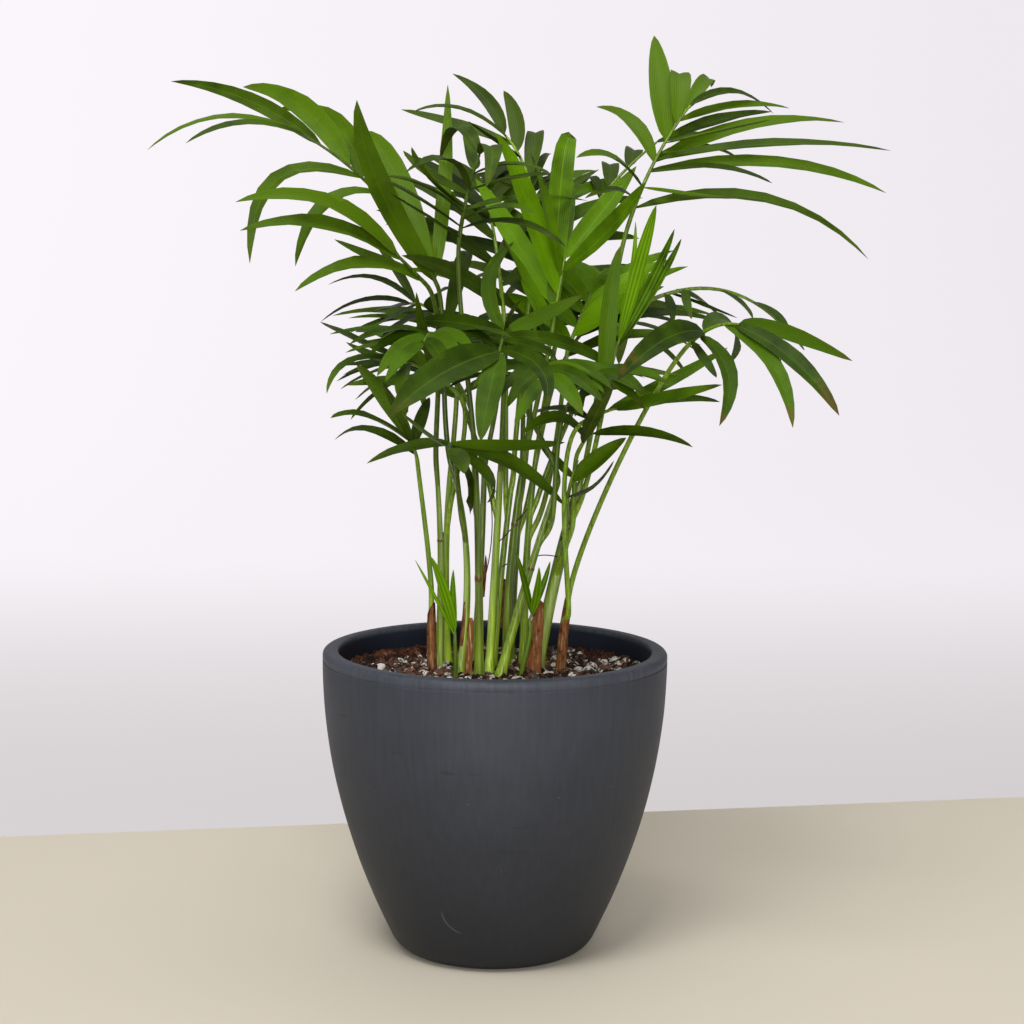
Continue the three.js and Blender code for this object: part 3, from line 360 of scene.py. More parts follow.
class PotSettings(bpy.types.PropertyGroup):
    """The turned pot."""

    height: size_setting("Height", POT_TOP.z, "From the table to the top of the lip")
    rim_radius: size_setting("Rim radius", POT_TOP.x, "Widest radius, just below the lip")
    base_round: size_setting("Base rounding", 7 * MM, "Radius of the rounded edge of the base")
    plastic: colour_setting("Plastic", "#2a2d35", "Matt charcoal of the wall")
    worn: colour_setting("Worn lip", "#464a54", "Paler band where the lip is rubbed")
    # The inside colour is painted shade: the same plastic made darker on the inner wall, where the pot shades
    # itself.
    inside: colour_setting("Inside", "#1a202c", "Darker face of the inner wall")
    scuff: colour_setting("Scuff", "#8b9098", "Scratch and stray specks")


class MixSettings(bpy.types.PropertyGroup):
    """The potting mix and what lies on it."""

    relief: size_setting("Relief", 1.8 * MM, "Rise and fall of the bed under the chips")
    chip_spacing: size_setting("Chip spacing", 3.8 * MM, "Least distance between two bark chips")
    perlite_spacing: size_setting("Perlite spacing", 5.2 * MM, "Least distance between two grains of perlite")
    coir_spacing: size_setting("Coir spacing", 2.4 * MM, "Least distance between two fibres of coir")
    seed: IntProperty(name="Seed", description="Where the chips fall", default=7)
    bark: colour_setting("Bark", "#463026", "Composted bark")
    perlite: colour_setting("Perlite", "#d6d1c8", "Expanded volcanic glass")
    coir: colour_setting("Coir", "#54301d", "Reddish coconut fibre at the wall")


class StemSettings(bpy.types.PropertyGroup):
    """The canes and what is left of their sheaths."""

    scar_swelling: size_setting("Scar swelling", 0.25 * MM, "Extra radius at a leaf scar")
    foot: colour_setting("Foot", "#97b22f", "Fresh green of the lowest part")
    cane: colour_setting("Cane", "#64801a", "Green of the cane")
    # The bloom colour also paints sheen along each cane, in the band of its sheath margin.
    bloom: colour_setting("Bloom", "#bccb84", "Pale waxy streaks, and the margin of a living sheath")
    scar: colour_setting("Scar", "#5e3c20", "Where a leaf was")
    sheath: colour_setting("Sheath", "#80502c", "Dry leaf sheath")
    straw: colour_setting("Straw", "#cbb083", "Bleached fibres of a dry sheath")


class LeafSettings(bpy.types.PropertyGroup):
    """The leaflets."""

    thickness: size_setting("Thickness", 0.4 * MM, "At the midrib")
    fold: share_setting("Fold", 0.3, "Rise of the edges, as a share of the half width")
    curl: FloatProperty(
        name="Curl", description="Most that a blade turns along its length", default=0.3, subtype="ANGLE"
    )
    young_width: share_setting("Young width", 0.62, "Width of an opening leaf, as a share of its solid's")
    # The shaded tint is painted shade: a darker, greyer copy of the leaf green for fronds that lie in shade.
    shaded: colour_setting("Shaded", "#2e3e0c", "Greyish old leaf at the back")
    deep: colour_setting("Deep", "#354d06", "Old leaf")
    mid: colour_setting("Mid", "#3a5106", "Grown leaf")
    fresh: colour_setting("Fresh", "#4e7005", "Leaf of this season")
    young: colour_setting("Young", "#507309", "Leaf that is still opening")
    underside: colour_setting("Underside", "#42570a", "Paler, duller lower face")
    dry: colour_setting("Dry", "#6a3f28", "Dried tip")


class StageSettings(bpy.types.PropertyGroup):
    """The table, the backdrop, the light of the room and the camera."""

    table: colour_setting("Table", "#dfd6c4", "Matt table")
    table_back: size_setting("Table back", 262 * MM, "From the pot's axis to the back edge of the table")
    backdrop: colour_setting("Backdrop", "#f4eff4", "Paper behind the table")
    # The backdrop's foot colour is painted shadow: the paper greyer where it leaves the table.
    backdrop_foot_shadow: colour_setting("Backdrop foot", "#d3cecf", "The paper where it leaves the table")
    room: colour_setting("Room", "#f6f3f1", "Light from all round")
    room_strength: FloatProperty(
        name="Room strength", description="Strength of the light from all round", default=0.26, min=0
    )
    lens: FloatProperty(
        name="Lens", description="Focal length on a 36 mm sensor", default=81.33, unit="CAMERA"
    )


# ---------------------------------------------------------------- materials
PART, FIRST, SECOND = 0, 6, 7                 # a colour mix's inputs: the second one's part, and both colours
BLEND = {"out": 2, "data_type": "RGBA"}       # settings of a node that mixes two colours
TIMES = {**BLEND, "blend_type": "MULTIPLY"}   # settings of a node that multiplies them


def add_node(tree, kind, inputs=None, out=0, **settings):
    """Adds a node, sets its own settings, sets or links its inputs, and returns the output asked for."""
    made = tree.nodes.new(kind)
    for name, value in settings.items():
        setattr(made, name, value)
    for key, value in (inputs or {}).items():
        if isinstance(value, bpy.types.NodeSocket):
            tree.links.new(value, made.inputs[key])
        else:
            made.inputs[key].default_value = value
    return made.outputs[out]


def start_material(name, roughness, specular=0.5):
    """A new material, with its tree and its Principled shader."""
    material = bpy.data.materials.new(name)
    material.use_nodes = True
    shader = material.node_tree.nodes["Principled BSDF"]
    shader.inputs["Roughness"].default_value = roughness
    shader.inputs["Specular IOR Level"].default_value = specular
    return material, material.node_tree, shader


def join(tree, shader, **sources):
    """Links sources to the shader's sockets, named with _ for a space."""
    for name, source in sources.items():
        tree.links.new(source, shader.inputs[name.replace("_", " ")])


def read_marks(tree, attribute):
    """The three numbers that a piece keeps at each point under this name."""
    read = add_node(tree, "ShaderNodeAttribute", out="Vector", attribute_name=attribute)
    split = add_node(tree, "ShaderNodeSeparateXYZ", {0: read}).node
    return split.outputs[0], split.outputs[1], split.outputs[2]


def stretched(tree, across, along):
    """Object coordinates in which a feature is so many mm across and so many mm along the upright."""
    place = add_node(tree, "ShaderNodeTexCoord", out="Object")
    scale = (per_mm(across), per_mm(across), per_mm(along))
    return add_node(tree, "ShaderNodeMapping", {"Vector": place, "Scale": scale})


def per_mm(size):
    """The texture scale that gives features of this size, in mm."""
    return 1 / (size * MM)


def scaled(colour, share):
    """A linear colour made lighter or darker."""
    return (*[channel * share for channel in colour[:3]], 1.0)


def pot_plastic(settings):
    """Moulded polypropylene, matt and through-coloured: faint brushed streaks, smudges and stray specks, with
    painted light and shade on the outer wall and painted shade inside.
    """
    material, tree, shader = start_material("moulded_matt_polypropylene", roughness=0.5, specular=0.35)
    place = add_node(tree, "ShaderNodeTexCoord", out="Object")
    streaks = add_node(tree, "ShaderNodeTexNoise", {
        "Vector": stretched(tree, 2.5, 40), "Scale": 1, "Detail": 4})
    clouds = add_node(tree, "ShaderNodeTexNoise", {
        "Vector": stretched(tree, 45, 28), "Scale": 1, "Detail": 5})
    both = add_node(tree, "ShaderNodeMath", {0: streaks, 1: clouds}, operation="ADD")
    uneven = add_node(tree, "ShaderNodeMapRange", {"Value": both, "From Min": 0.7, "From Max": 1.3})
    outer = outer_wall(tree, settings, place, uneven)
    # The inner wall takes the inside colour, which is painted shade.
    inner = read_marks(tree, "place")[0]
    faced = add_node(tree, "ShaderNodeMix", {PART: inner, FIRST: outer, SECOND: settings.inside[:]}, **BLEND)
    marks = stray_marks(tree, place)
    marked = add_node(tree, "ShaderNodeMix", {PART: marks, FIRST: faced, SECOND: settings.scuff[:]}, **BLEND)
    grain = add_node(tree, "ShaderNodeTexNoise", {"Vector": place, "Scale": per_mm(0.9), "Detail": 3})
    tooth = add_node(tree, "ShaderNodeMath", {0: streaks, 1: grain}, operation="ADD")
    relief = add_node(tree, "ShaderNodeBump", {"Height": tooth, "Strength": 0.14, "Distance": 0.2 * MM})
    gloss = add_node(tree, "ShaderNodeMapRange", {"Value": clouds, "To Min": 0.45, "To Max": 0.66})
    join(tree, shader, Base_Color=marked, Normal=relief, Roughness=gloss)
    return material


def outer_wall(tree, settings, place, uneven):
    """Charcoal, with painted shade low towards the table and a painted highlight high on the wall, a few dark
    smears and a rubbed, paler lip.
    """
    height = add_node(tree, "ShaderNodeSeparateXYZ", {0: place}, 2)
    tone = add_node(tree, "ShaderNodeMix", {
        PART: uneven, FIRST: scaled(settings.plastic, 0.86), SECOND: scaled(settings.plastic, 1.14)}, **BLEND)
    # Painted shade and highlight: the base colour runs from dark at the table to pale just below the lip.
    rise = add_node(tree, "ShaderNodeMapRange", {
        "Value": height, "From Min": 0, "From Max": settings.height * 0.85, "To Min": 0.3, "To Max": 1.45})
    wall = add_node(tree, "ShaderNodeMix", {PART: 1, FIRST: tone, SECOND: rise}, **TIMES)
    smears = add_node(tree, "ShaderNodeTexNoise", {"Vector": stretched(tree, 22, 5), "Scale": 1, "Detail": 2})
    smeared = add_node(tree, "ShaderNodeMapRange", {
        "Value": smears, "From Min": 0.68, "From Max": 0.78, "To Max": 0.45})
    smudged = add_node(tree, "ShaderNodeMix", {
        PART: smeared, FIRST: wall, SECOND: scaled(settings.plastic, 0.45)}, **BLEND)
    lip = add_node(tree, "ShaderNodeMapRange", {
        "Value": height, "From Min": settings.height - 6.2 * MM, "From Max": settings.height - 4.8 * MM})
    rubbed = add_node(tree, "ShaderNodeMath", {0: lip, 1: uneven}, operation="MULTIPLY")
    return add_node(tree, "ShaderNodeMix", {PART: rubbed, FIRST: smudged, SECOND: settings.worn[:]}, **BLEND)


def stray_marks(tree, place):
    """Pale specks, about 12 mm apart, and one curved scratch."""
    cells = add_node(tree, "ShaderNodeTexVoronoi", {"Vector": place, "Scale": per_mm(12)}, out="Distance")
    specks = add_node(tree, "ShaderNodeMapRange", {
        "Value": cells, "From Min": 0.026, "From Max": 0.018, "To Max": 0.35})
    return add_node(tree, "ShaderNodeMath", {0: scratch(tree, place), 1: specks}, operation="MAXIMUM")


def scratch(tree, place):
    """One curved scratch low on the front: the part of a fine ring near a point on it, in metres."""
    centre, radius, half_width = (-0.012, -0.062, 0.036), 0.0135, 0.0003
    middle, reach, strength = (-0.023, -0.058, 0.027), 0.010, 0.2
    away = add_node(tree, "ShaderNodeVectorMath", {0: place, 1: centre}, "Value", operation="DISTANCE")
    ring = add_node(tree, "ShaderNodeMath", {0: away, 1: radius, 2: half_width}, operation="COMPARE")
    near = add_node(tree, "ShaderNodeVectorMath", {0: place, 1: middle}, "Value", operation="DISTANCE")
    kept = add_node(tree, "ShaderNodeMapRange", {
        "Value": near, "From Min": reach, "From Max": reach * 0.6, "To Max": strength})
    return add_node(tree, "ShaderNodeMath", {0: ring, 1: kept}, operation="MULTIPLY")


def crumb(name, colour, pale, size, low, high):
    """Loose matter of one kind: each piece has a shade of its own, pitted dark by a grain of a size in mm."""
    material, tree, shader = start_material(name, roughness=0.92, specular=0.22)
    tone = read_marks(tree, "place")[0]
    grain = add_node(tree, "ShaderNodeTexNoise", {
        "Vector": stretched(tree, size, size), "Scale": 1, "Detail": 4})
    level = add_node(tree, "ShaderNodeMapRange", {"Value": tone, "To Min": -0.18, "To Max": 0.18})
    shade = add_node(tree, "ShaderNodeMath", {0: level, 1: grain}, operation="ADD")
    share = add_node(tree, "ShaderNodeMapRange", {"Value": shade, "From Min": low, "From Max": high})
    body = add_node(tree, "ShaderNodeMix", {PART: share, FIRST: scaled(colour, 0.3), SECOND: pale}, **BLEND)
    relief = add_node(tree, "ShaderNodeBump", {"Height": grain, "Strength": 0.7, "Distance": 0.4 * MM})
    join(tree, shader, Base_Color=body, Normal=relief)
    return material


def cane_skin(settings):
    """Living cane: smooth waxed skin, fine lengthwise streaks, a pale sheath margin that also serves as
    painted sheen, and brown leaf scars.
    """
    material, tree, shader = start_material("waxed_green_cane", roughness=0.3, specular=0.4)
    share, scar, margin = read_marks(tree, "place")
    tone = read_marks(tree, "kind")[0]
    streaks = add_node(tree, "ShaderNodeTexNoise", {
        "Vector": stretched(tree, 0.9, 34), "Scale": 1, "Detail": 3})
    spots = add_node(tree, "ShaderNodeTexNoise", {"Vector": stretched(tree, 1.6, 3), "Scale": 1, "Detail": 4})
    rise = add_node(tree, "ShaderNodeMapRange", {"Value": share, "From Max": 0.55})
    green = add_node(tree, "ShaderNodeMix", {
        PART: rise, FIRST: settings.foot[:], SECOND: settings.cane[:]}, **BLEND)
    shade = add_node(tree, "ShaderNodeMapRange", {"Value": tone, "To Min": 0.45, "To Max": 1.4})
    toned = add_node(tree, "ShaderNodeMix", {PART: 1, FIRST: green, SECOND: shade}, **TIMES)
    lines = add_node(tree, "ShaderNodeMapRange", {
        "Value": streaks, "From Min": 0.3, "From Max": 0.7, "To Min": 0.5, "To Max": 1.45})
    lined = add_node(tree, "ShaderNodeMix", {PART: 1, FIRST: toned, SECOND: lines}, **TIMES)
    # Painted sheen: pale waxy streaks within the band of the sheath margin.
    waxed = add_node(tree, "ShaderNodeMath", {0: margin, 1: streaks}, operation="MULTIPLY")
    bloomed = add_node(tree, "ShaderNodeMix", {PART: waxed, FIRST: lined, SECOND: settings.bloom[:]}, **BLEND)
    uneven = add_node(tree, "ShaderNodeMath", {0: spots, 1: 0.45, 2: scar}, operation="MULTIPLY_ADD")
    scarred = add_node(tree, "ShaderNodeMapRange", {"Value": uneven, "From Min": 0.45, "From Max": 0.65})
    body = add_node(tree, "ShaderNodeMix", {PART: scarred, FIRST: bloomed, SECOND: settings.scar[:]}, **BLEND)
    relief = add_node(tree, "ShaderNodeBump", {"Height": streaks, "Strength": 0.35, "Distance": 0.25 * MM})
    join(tree, shader, Base_Color=body, Normal=relief)
    return material


def dry_fibre(settings):
    """Dead leaf sheath: papery, torn lengthwise into fibres, brown with bleached and black streaks."""
    material, tree, shader = start_material("dry_leaf_sheath", roughness=0.85, specular=0.2)
    bleach = read_marks(tree, "place")[2]
    fibres = add_node(tree, "ShaderNodeTexNoise", {"Vector": stretched(tree, 1, 8), "Scale": 1, "Detail": 5})
    blots = add_node(tree, "ShaderNodeTexNoise", {"Vector": stretched(tree, 2, 4), "Scale": 1, "Detail": 4})
    lit = add_node(tree, "ShaderNodeMath", {0: blots, 1: bleach}, operation="MULTIPLY")
    held = add_node(tree, "ShaderNodeMath", {0: blots, 1: lit}, operation="ADD")
    share = add_node(tree, "ShaderNodeMapRange", {"Value": held, "From Min": 0.4, "From Max": 0.72})
    brown = add_node(tree, "ShaderNodeMix", {
        PART: share, FIRST: scaled(settings.sheath, 0.22), SECOND: settings.sheath[:]}, **BLEND)
    pale = add_node(tree, "ShaderNodeMapRange", {"Value": fibres, "From Min": 0.54, "From Max": 0.7})
    bleached = add_node(tree, "ShaderNodeMath", {0: pale, 1: bleach}, operation="MULTIPLY")
    body = add_node(tree, "ShaderNodeMix", {PART: bleached, FIRST: brown, SECOND: settings.straw[:]}, **BLEND)
    relief = add_node(tree, "ShaderNodeBump", {"Height": fibres, "Strength": 0.9, "Distance": 0.5 * MM})
    join(tree, shader, Base_Color=body, Normal=relief)
    return material


def leaf_skin(name, colour, dry, gloss, vein_tone_and_pleat_shade=0.05):
    """Living leaf: waxed skin over lengthwise veins, paler at the midrib, dry at the tip of some blades."""
    material, tree, shader = start_material(name, gloss, specular=0.08)
    across, along, tone = read_marks(tree, "place")
    dryness, count, _ = read_marks(tree, "kind")
    blotches = add_node(tree, "ShaderNodeTexNoise", {
        "Vector": stretched(tree, 16, 16), "Scale": 1, "Detail": 3})
    light = add_node(tree, "ShaderNodeMath", {0: tone, 1: blotches}, operation="ADD")
    share = add_node(tree, "ShaderNodeMapRange", {"Value": light, "From Min": 0.4, "From Max": 1.25})
    green = add_node(tree, "ShaderNodeMix", {
        PART: share, FIRST: scaled(colour, 0.42), SECOND: scaled(colour, 1.75)}, **BLEND)
    turn = add_node(tree, "ShaderNodeMath", {0: across, 1: count}, operation="MULTIPLY")
    veins = add_node(tree, "ShaderNodeMath", {0: turn}, operation="COSINE")
    veined = veined_green(tree, colour, green, across, veins, vein_tone_and_pleat_shade)
    ragged = add_node(tree, "ShaderNodeMath", {0: blotches, 1: along}, operation="ADD")
    ending = add_node(tree, "ShaderNodeMapRange", {"Value": ragged, "From Min": 1.36, "From Max": 1.45})
    dried = add_node(tree, "ShaderNodeMath", {0: ending, 1: dryness}, operation="MULTIPLY")
    body = add_node(tree, "ShaderNodeMix", {PART: dried, FIRST: veined, SECOND: dry[:]}, **BLEND)
    relief = add_node(tree, "ShaderNodeBump", {"Height": veins, "Strength": 0.35, "Distance": 0.12 * MM})
    join(tree, shader, Base_Color=body, Normal=relief)
    return material


def veined_green(tree, colour, green, across, veins, vein_tone_and_pleat_shade):
    """The green with a paler midrib, and lighter and darker by turns from vein to vein: a faint vein tone,
    and painted light and shade of the pleats on an opening leaf.
    """
    middle = add_node(tree, "ShaderNodeMath", {0: across}, operation="ABSOLUTE")
    rib = add_node(tree, "ShaderNodeMapRange", {
        "Value": middle, "From Min": 0.1, "From Max": 0.03, "To Max": 0.3})
    ribbed = add_node(tree, "ShaderNodeMix", {PART: rib, FIRST: green, SECOND: scaled(colour, 2.2)}, **BLEND)
    # Painted light and shade of the pleats, strong on opening leaves; on grown ones a faint vein tone.
    lined = add_node(tree, "ShaderNodeMapRange", {
        "Value": veins, "From Min": -1, "To Min": 1 - vein_tone_and_pleat_shade, "To Max": 1 + vein_tone_and_pleat_shade})
    return add_node(tree, "ShaderNodeMix", {PART: 1, FIRST: ribbed, SECOND: lined}, **TIMES)


def matt_table(settings):
    """Painted board, matt and pale, with faint painted patches of light and shade, 300 mm from cloud to
    cloud.
    """
    material, tree, shader = start_material("matt_painted_table", roughness=0.7, specular=0.2)
    # Faint painted light and shade: soft patches, a little brighter and duller.
    clouds = add_node(tree, "ShaderNodeTexNoise", {"Vector": stretched(tree, 300, 300), "Scale": 1})
    tint = add_node(tree, "ShaderNodeMix", {
        PART: clouds, FIRST: scaled(settings.table, 0.95), SECOND: settings.table[:]}, **BLEND)
    join(tree, shader, Base_Color=tint)
    return material


def lit_paper(settings):
    """Matt paper that glows as by lamps of its own, with painted shadow where it leaves the table and its
    light painted dimmer towards the right.
    """
    material, tree, shader = start_material("evenly_lit_paper", roughness=0.9, specular=0)
    shader.inputs["Base Color"].default_value = scaled(settings.backdrop, 0.03)
    shader.inputs["Emission Strength"].default_value = 1
    place = add_node(tree, "ShaderNodeTexCoord", out="Object")
    aside = add_node(tree, "ShaderNodeSeparateXYZ", {0: place}, 0)
    depth = add_node(tree, "ShaderNodeSeparateXYZ", {0: place}, 1)
    # Painted shadow at the paper's foot, and the paper's glow painted dimmer towards the right.
    behind = add_node(tree, "ShaderNodeMapRange", {
        "Value": depth, "From Min": settings.table_back, "From Max": 1.5}, interpolation_type="SMOOTHSTEP")
    painted_falloff = add_node(tree, "ShaderNodeMapRange", {
        "Value": aside, "From Min": -0.9, "From Max": 0.9, "To Min": 1.05, "To Max": 0.93})
    paper = add_node(tree, "ShaderNodeMix", {
        PART: behind, FIRST: settings.backdrop_foot_shadow[:], SECOND: settings.backdrop[:]}, **BLEND)
    lit = add_node(tree, "ShaderNodeMix", {PART: 1, FIRST: paper, SECOND: painted_falloff}, **TIMES)
    join(tree, shader, Emission_Color=lit)
    return material


# ---------------------------------------------------------------- curves and shapes, mm
class Bezier:
    """A smooth curve that starts at its first control point and ends at its last."""

    def __init__(self, *points):
        self.points = [Vector(point) for point in points]

    def reduced(self, t, left):
        """De Casteljau's rule, until this many points are left."""
        level = self.points
        while len(level) > left:
            level = [a.lerp(b, t) for a, b in zip(level, level[1:])]
        return level

    def point(self, t):
        """The place at a share of the way."""
        return self.reduced(t, 1)[0].copy()

    def tangent(self, t):
        """The way that the curve runs at a share of the way, one unit long."""
        first, last = self.reduced(t, 2)
        return (last - first).normalized()


def through(first, middle, last):
    """A curve through three points, the second of them halfway."""
    control = 2 * Vector(middle) - 0.5 * Vector(first) - 0.5 * Vector(last)
    return Bezier(first, control, last)


def draws(seed):
    """Park and Miller's generator, which the source of the solids draws from as well."""
    state = seed * 7919 + 13
    while True:
        state = state * 16807 % 2147483647
        yield state / 2147483647


def between(low, high, t):
    """From low at 0 to high at 1."""
    return low + (high - low) * t


def steps_between(low, high, count):
    """Evenly spaced numbers from low to high, both included."""
    return [between(low, high, step / count) for step in range(count + 1)]


class Shape:
    """Points, faces and the marks that materials read, gathered for one mesh.

    Every point has two marks of three numbers: place says where on its cane or blade the point is, and kind
    is the same all over one cane or blade.
    """

    def __init__(self):
        self.points = []
        self.faces = []
        self.slots = []
        self.place = []
        self.kind = []

    def skin(self, rings, place, kind, slots=(0,)):
        """Joins rings of points, each turned right-handed about the way they run, and closes both ends.

        slots are the materials of the faces round a ring, dealt out by turns.
        """
        first, count = len(self.points), len(rings[0])
        self.points += [point for ring in rings for point in ring]
        self.place += [mark for ring in place for mark in ring]
        self.kind += [kind] * (len(rings) * count)
        for row in range(first, first + (len(rings) - 1) * count, count):
            for i in range(count):
                a, b = row + i, row + (i + 1) % count
                self.faces.append((a, b, b + count, a + count))
                self.slots.append(slots[i % len(slots)])
        last = first + (len(rings) - 1) * count
        self.faces += [tuple(range(first + count - 1, first - 1, -1)), tuple(range(last, last + count))]
        self.slots += [slots[0], slots[0]]


def make_piece(name, shape, materials, slot, nodes, crease=60):
    """The shape as a piece of the plant, in metres, that stands for its nodes."""
    mesh = bpy.data.meshes.new(name)
    mesh.from_pydata([point * MM for point in shape.points], [], shape.faces)
    for mark, values in (("place", shape.place), ("kind", shape.kind)):
        attribute = mesh.attributes.new(mark, "FLOAT_VECTOR", "POINT")
        attribute.data.foreach_set("vector", [number for value in values for number in value])
    for material in materials:
        mesh.materials.append(material)
    mesh.polygons.foreach_set("material_index", shape.slots)
    mesh.shade_smooth()
    mesh.set_sharp_from_angle(angle=math.radians(crease))
    return settle(bpy.data.objects.new(name, mesh), slot, nodes)


def settle(piece, slot, nodes):
    """Puts a piece in the scene, on the plant's one body."""
    bpy.context.scene.collection.objects.link(piece)
    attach(piece, "root")
    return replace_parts(piece, *nodes)


def frame_at(curve, t, face):
    """The point on a curve, the way across it and the way up from it, its upper side turned to face."""
    along = curve.tangent(t)
    across = along.cross(face).normalized()
    return curve.point(t), across, across.cross(along).normalized()


def front_of(curve):
    """A tube's section is turned to the front, or up where the tube itself runs to the front."""
    run = (curve.point(1) - curve.point(0)).normalized()
    return FRONT if abs(run.y) < 0.8 else UP


def add_tube(shape, curve, radius_at, sides, steps, mark_at, kind=(0, 0, 0)):
    """A round tube along a curve. radius_at(share) gives the radius and mark_at(share, turn) the mark."""
    rings, place = [], []
    face = front_of(curve)
    turns = [math.tau * side / sides for side in range(sides)]
    for t in steps_between(0, 1, steps):
        centre, across, upper = frame_at(curve, t, face)
        radius = radius_at(t)
        rings.append([centre + radius * (math.cos(a) * upper + math.sin(a) * across) for a in turns])
        place.append([mark_at(t, a) for a in turns])
    shape.skin(rings, place, kind)


def turned_rings(profile, sides, relief):
    """Rings about the Z axis through (radius, height) points, each point moved by relief(point, way out)."""
    rings = []
    for radius, height in profile:
        ring = []
        for side in range(sides):
            turn = math.tau * side / sides
            way = Vector((math.cos(turn), math.sin(turn), 0))
            point = radius * way + height * UP
            ring.append(point + relief(point, way))
        rings.append(ring)
    return rings


# ---------------------------------------------------------------- pot and mix
BELLY_CURVE = 0.00169            # radius lost for each mm squared below the widest height
WIDEST = 154                     # height of the widest place, just below the lip
MOUTH_RADIUS = 81.8
LIP_ROUND, MOUTH_ROUND = 2.6, 1.4
POT_WALL, POT_FLOOR = 8, 10
POT_SIDES, BED_SIDES = 144, 120


def pot_radius(z, rim):
    """Outer radius of the wall at a height."""
    return rim - BELLY_CURVE * (WIDEST - z) ** 2


def arc(centre, radius, start, end, steps):
    """Points of an arc in the (radius, height) plane, by degrees."""
    angles = [math.radians(angle) for angle in steps_between(start, end, steps)]
    return [(centre[0] + radius * math.cos(a), centre[1] + radius * math.sin(a)) for a in angles]


def pot_profile(settings):
    """The outer wall, the lip and the inner wall, and how many of the points lie outside the mouth."""
    rim, top, base_round = settings.rim_radius / MM, settings.height / MM, settings.base_round / MM
    base, round_end = pot_radius(0, rim), pot_radius(base_round, rim)
    profile = [(base - base_round, 0)]
    for t in steps_between(0, 1, 8)[1:]:
        across = (1 - t) ** 2 * (base - base_round) + 2 * t * (1 - t) * (base - 1) + t * t * round_end
        profile.append((across, base_round * t * t))
    lip = WIDEST - 1
    profile += [(pot_radius(z, rim), z) for z in steps_between(base_round, lip, 40)[1:]]
    groove = [(rim - 0.45, lip + 0.4), (rim - 0.4, lip + 0.9), (rim, lip + 1.5)]
    profile += groove
    profile += arc((rim - LIP_ROUND, top - LIP_ROUND), LIP_ROUND, 0, 90, 6)
    profile += arc((MOUTH_RADIUS + MOUTH_ROUND, top - MOUTH_ROUND), MOUTH_ROUND, 90, 180, 4)
    outside = len(profile)
    profile += [(MOUTH_RADIUS, top - 3), (pot_radius(WIDEST, rim) - POT_WALL - 0.4, WIDEST - 2)]
    profile += [(pot_radius(z, rim) - POT_WALL, z) for z in steps_between(WIDEST - 4, POT_FLOOR, 30)]
    return profile, outside


def make_pot(settings):
    """The pot: its outer wall, lip and inner wall, as one closed shell."""
    profile, outside = pot_profile(settings)

    def relief(point, way):
        """The moulded wall isn't quite even, and the inner wall has faint flow ridges."""
        if point.z < 0.5:
            return Vector()
        inner = math.hypot(point.x, point.y) < pot_radius(point.z, settings.rim_radius / MM) - 5
        ridges = 0.35 * noise.noise(Vector((point.x / 30, point.y / 30, point.z / 1.6))) if inner else 0
        return way * (0.12 * noise.noise(point / 18) + ridges)

    rings = turned_rings(profile, POT_SIDES, relief)
    place = [[(0 if row < outside else 1, 0, 0)] * POT_SIDES for row in range(len(rings))]
    shape = Shape()
    shape.skin(rings, place, (0, 0, 0))
    make_piece("pot_shell", shape, [pot_plastic(settings)], "pot_plastic", ["pot"], crease=40)


def make_mix_bed(settings):
    """The bed that the loose chips lie on: a plug that fills the pot, its top uneven."""
    level = MIX_TOP.z / MM
    clear = POT_WALL + 0.3
    heights = steps_between(POT_FLOOR + 1, level - 4, 6)
    wall = [(pot_radius(z, POT_TOP.x / MM) - clear, z) for z in heights]
    radius = wall[-1][0]
    top = [(radius * share, level - 1.5 - 1.8 * share ** 3) for share in steps_between(0.985, 0.008, 46)]

    def relief(point, way):
        """Heaps and hollows of the top."""
        if point.z < level - 4.2:
            return Vector()
        rough = noise.noise(point / 9) + 0.6 * noise.noise(point / 3.5)
        return UP * settings.relief / MM * rough

    rings = turned_rings(wall + top, BED_SIDES, relief)
    shape = Shape()
    shape.skin(rings, [[(0.5, 0, 0)] * BED_SIDES] * len(rings), (0, 0, 0))
    soil = scaled(settings.bark, 0.7)
    material = crumb("composted_bark_bed", settings.bark, soil, size=1.2, low=0.4, high=0.8)
    return make_piece("mix_bed", shape, [material], "potting_mix", ["potting_mix"], crease=180)


SCATTER_INPUTS = {                   # what a scatter tree is given, by name and kind
    "Bed": "Geometry", "Centre": "Vector", "Within": "Float", "Spacing": "Float", "Least": "Vector",
    "Most": "Vector", "Unevenness": "Float", "Seed": "Int", "Finish": "Material",
}
VECTORS = {"data_type": "FLOAT_VECTOR"}


def scatter_tree(name, add_shape):
    """Geometry nodes that drop loose pieces of a shape on the upper side of a bed, within a round patch."""
    tree = bpy.data.node_groups.new(name, "GeometryNodeTree")
    for label, kind in SCATTER_INPUTS.items():
        tree.interface.new_socket(label, in_out="INPUT", socket_type="NodeSocket" + kind)
    tree.interface.new_socket("Pieces", in_out="OUTPUT", socket_type="NodeSocketGeometry")
    given = tree.nodes.new("NodeGroupInput").outputs
    place = add_node(tree, "GeometryNodeInputPosition")
    whole = add_node(tree, "GeometryNodeRealizeInstances", {
        "Geometry": dropped_pieces(tree, given, place, add_shape)})
    rough = add_node(tree, "ShaderNodeTexNoise", {
        "Vector": place, "Scale": per_mm(2.6), "Detail": 1}, "Color")
    centred = add_node(tree, "ShaderNodeVectorMath", {0: rough, 1: (0.5, 0.5, 0.5)}, operation="SUBTRACT")
    offset = add_node(tree, "ShaderNodeVectorMath", {
        0: centred, "Scale": given["Unevenness"]}, operation="SCALE")
    broken = add_node(tree, "GeometryNodeSetPosition", {"Geometry": whole, "Offset": offset})
    finished = add_node(tree, "GeometryNodeSetMaterial", {"Geometry": broken, "Material": given["Finish"]})
    tree.links.new(finished, tree.nodes.new("NodeGroupOutput").inputs[0])
    return tree


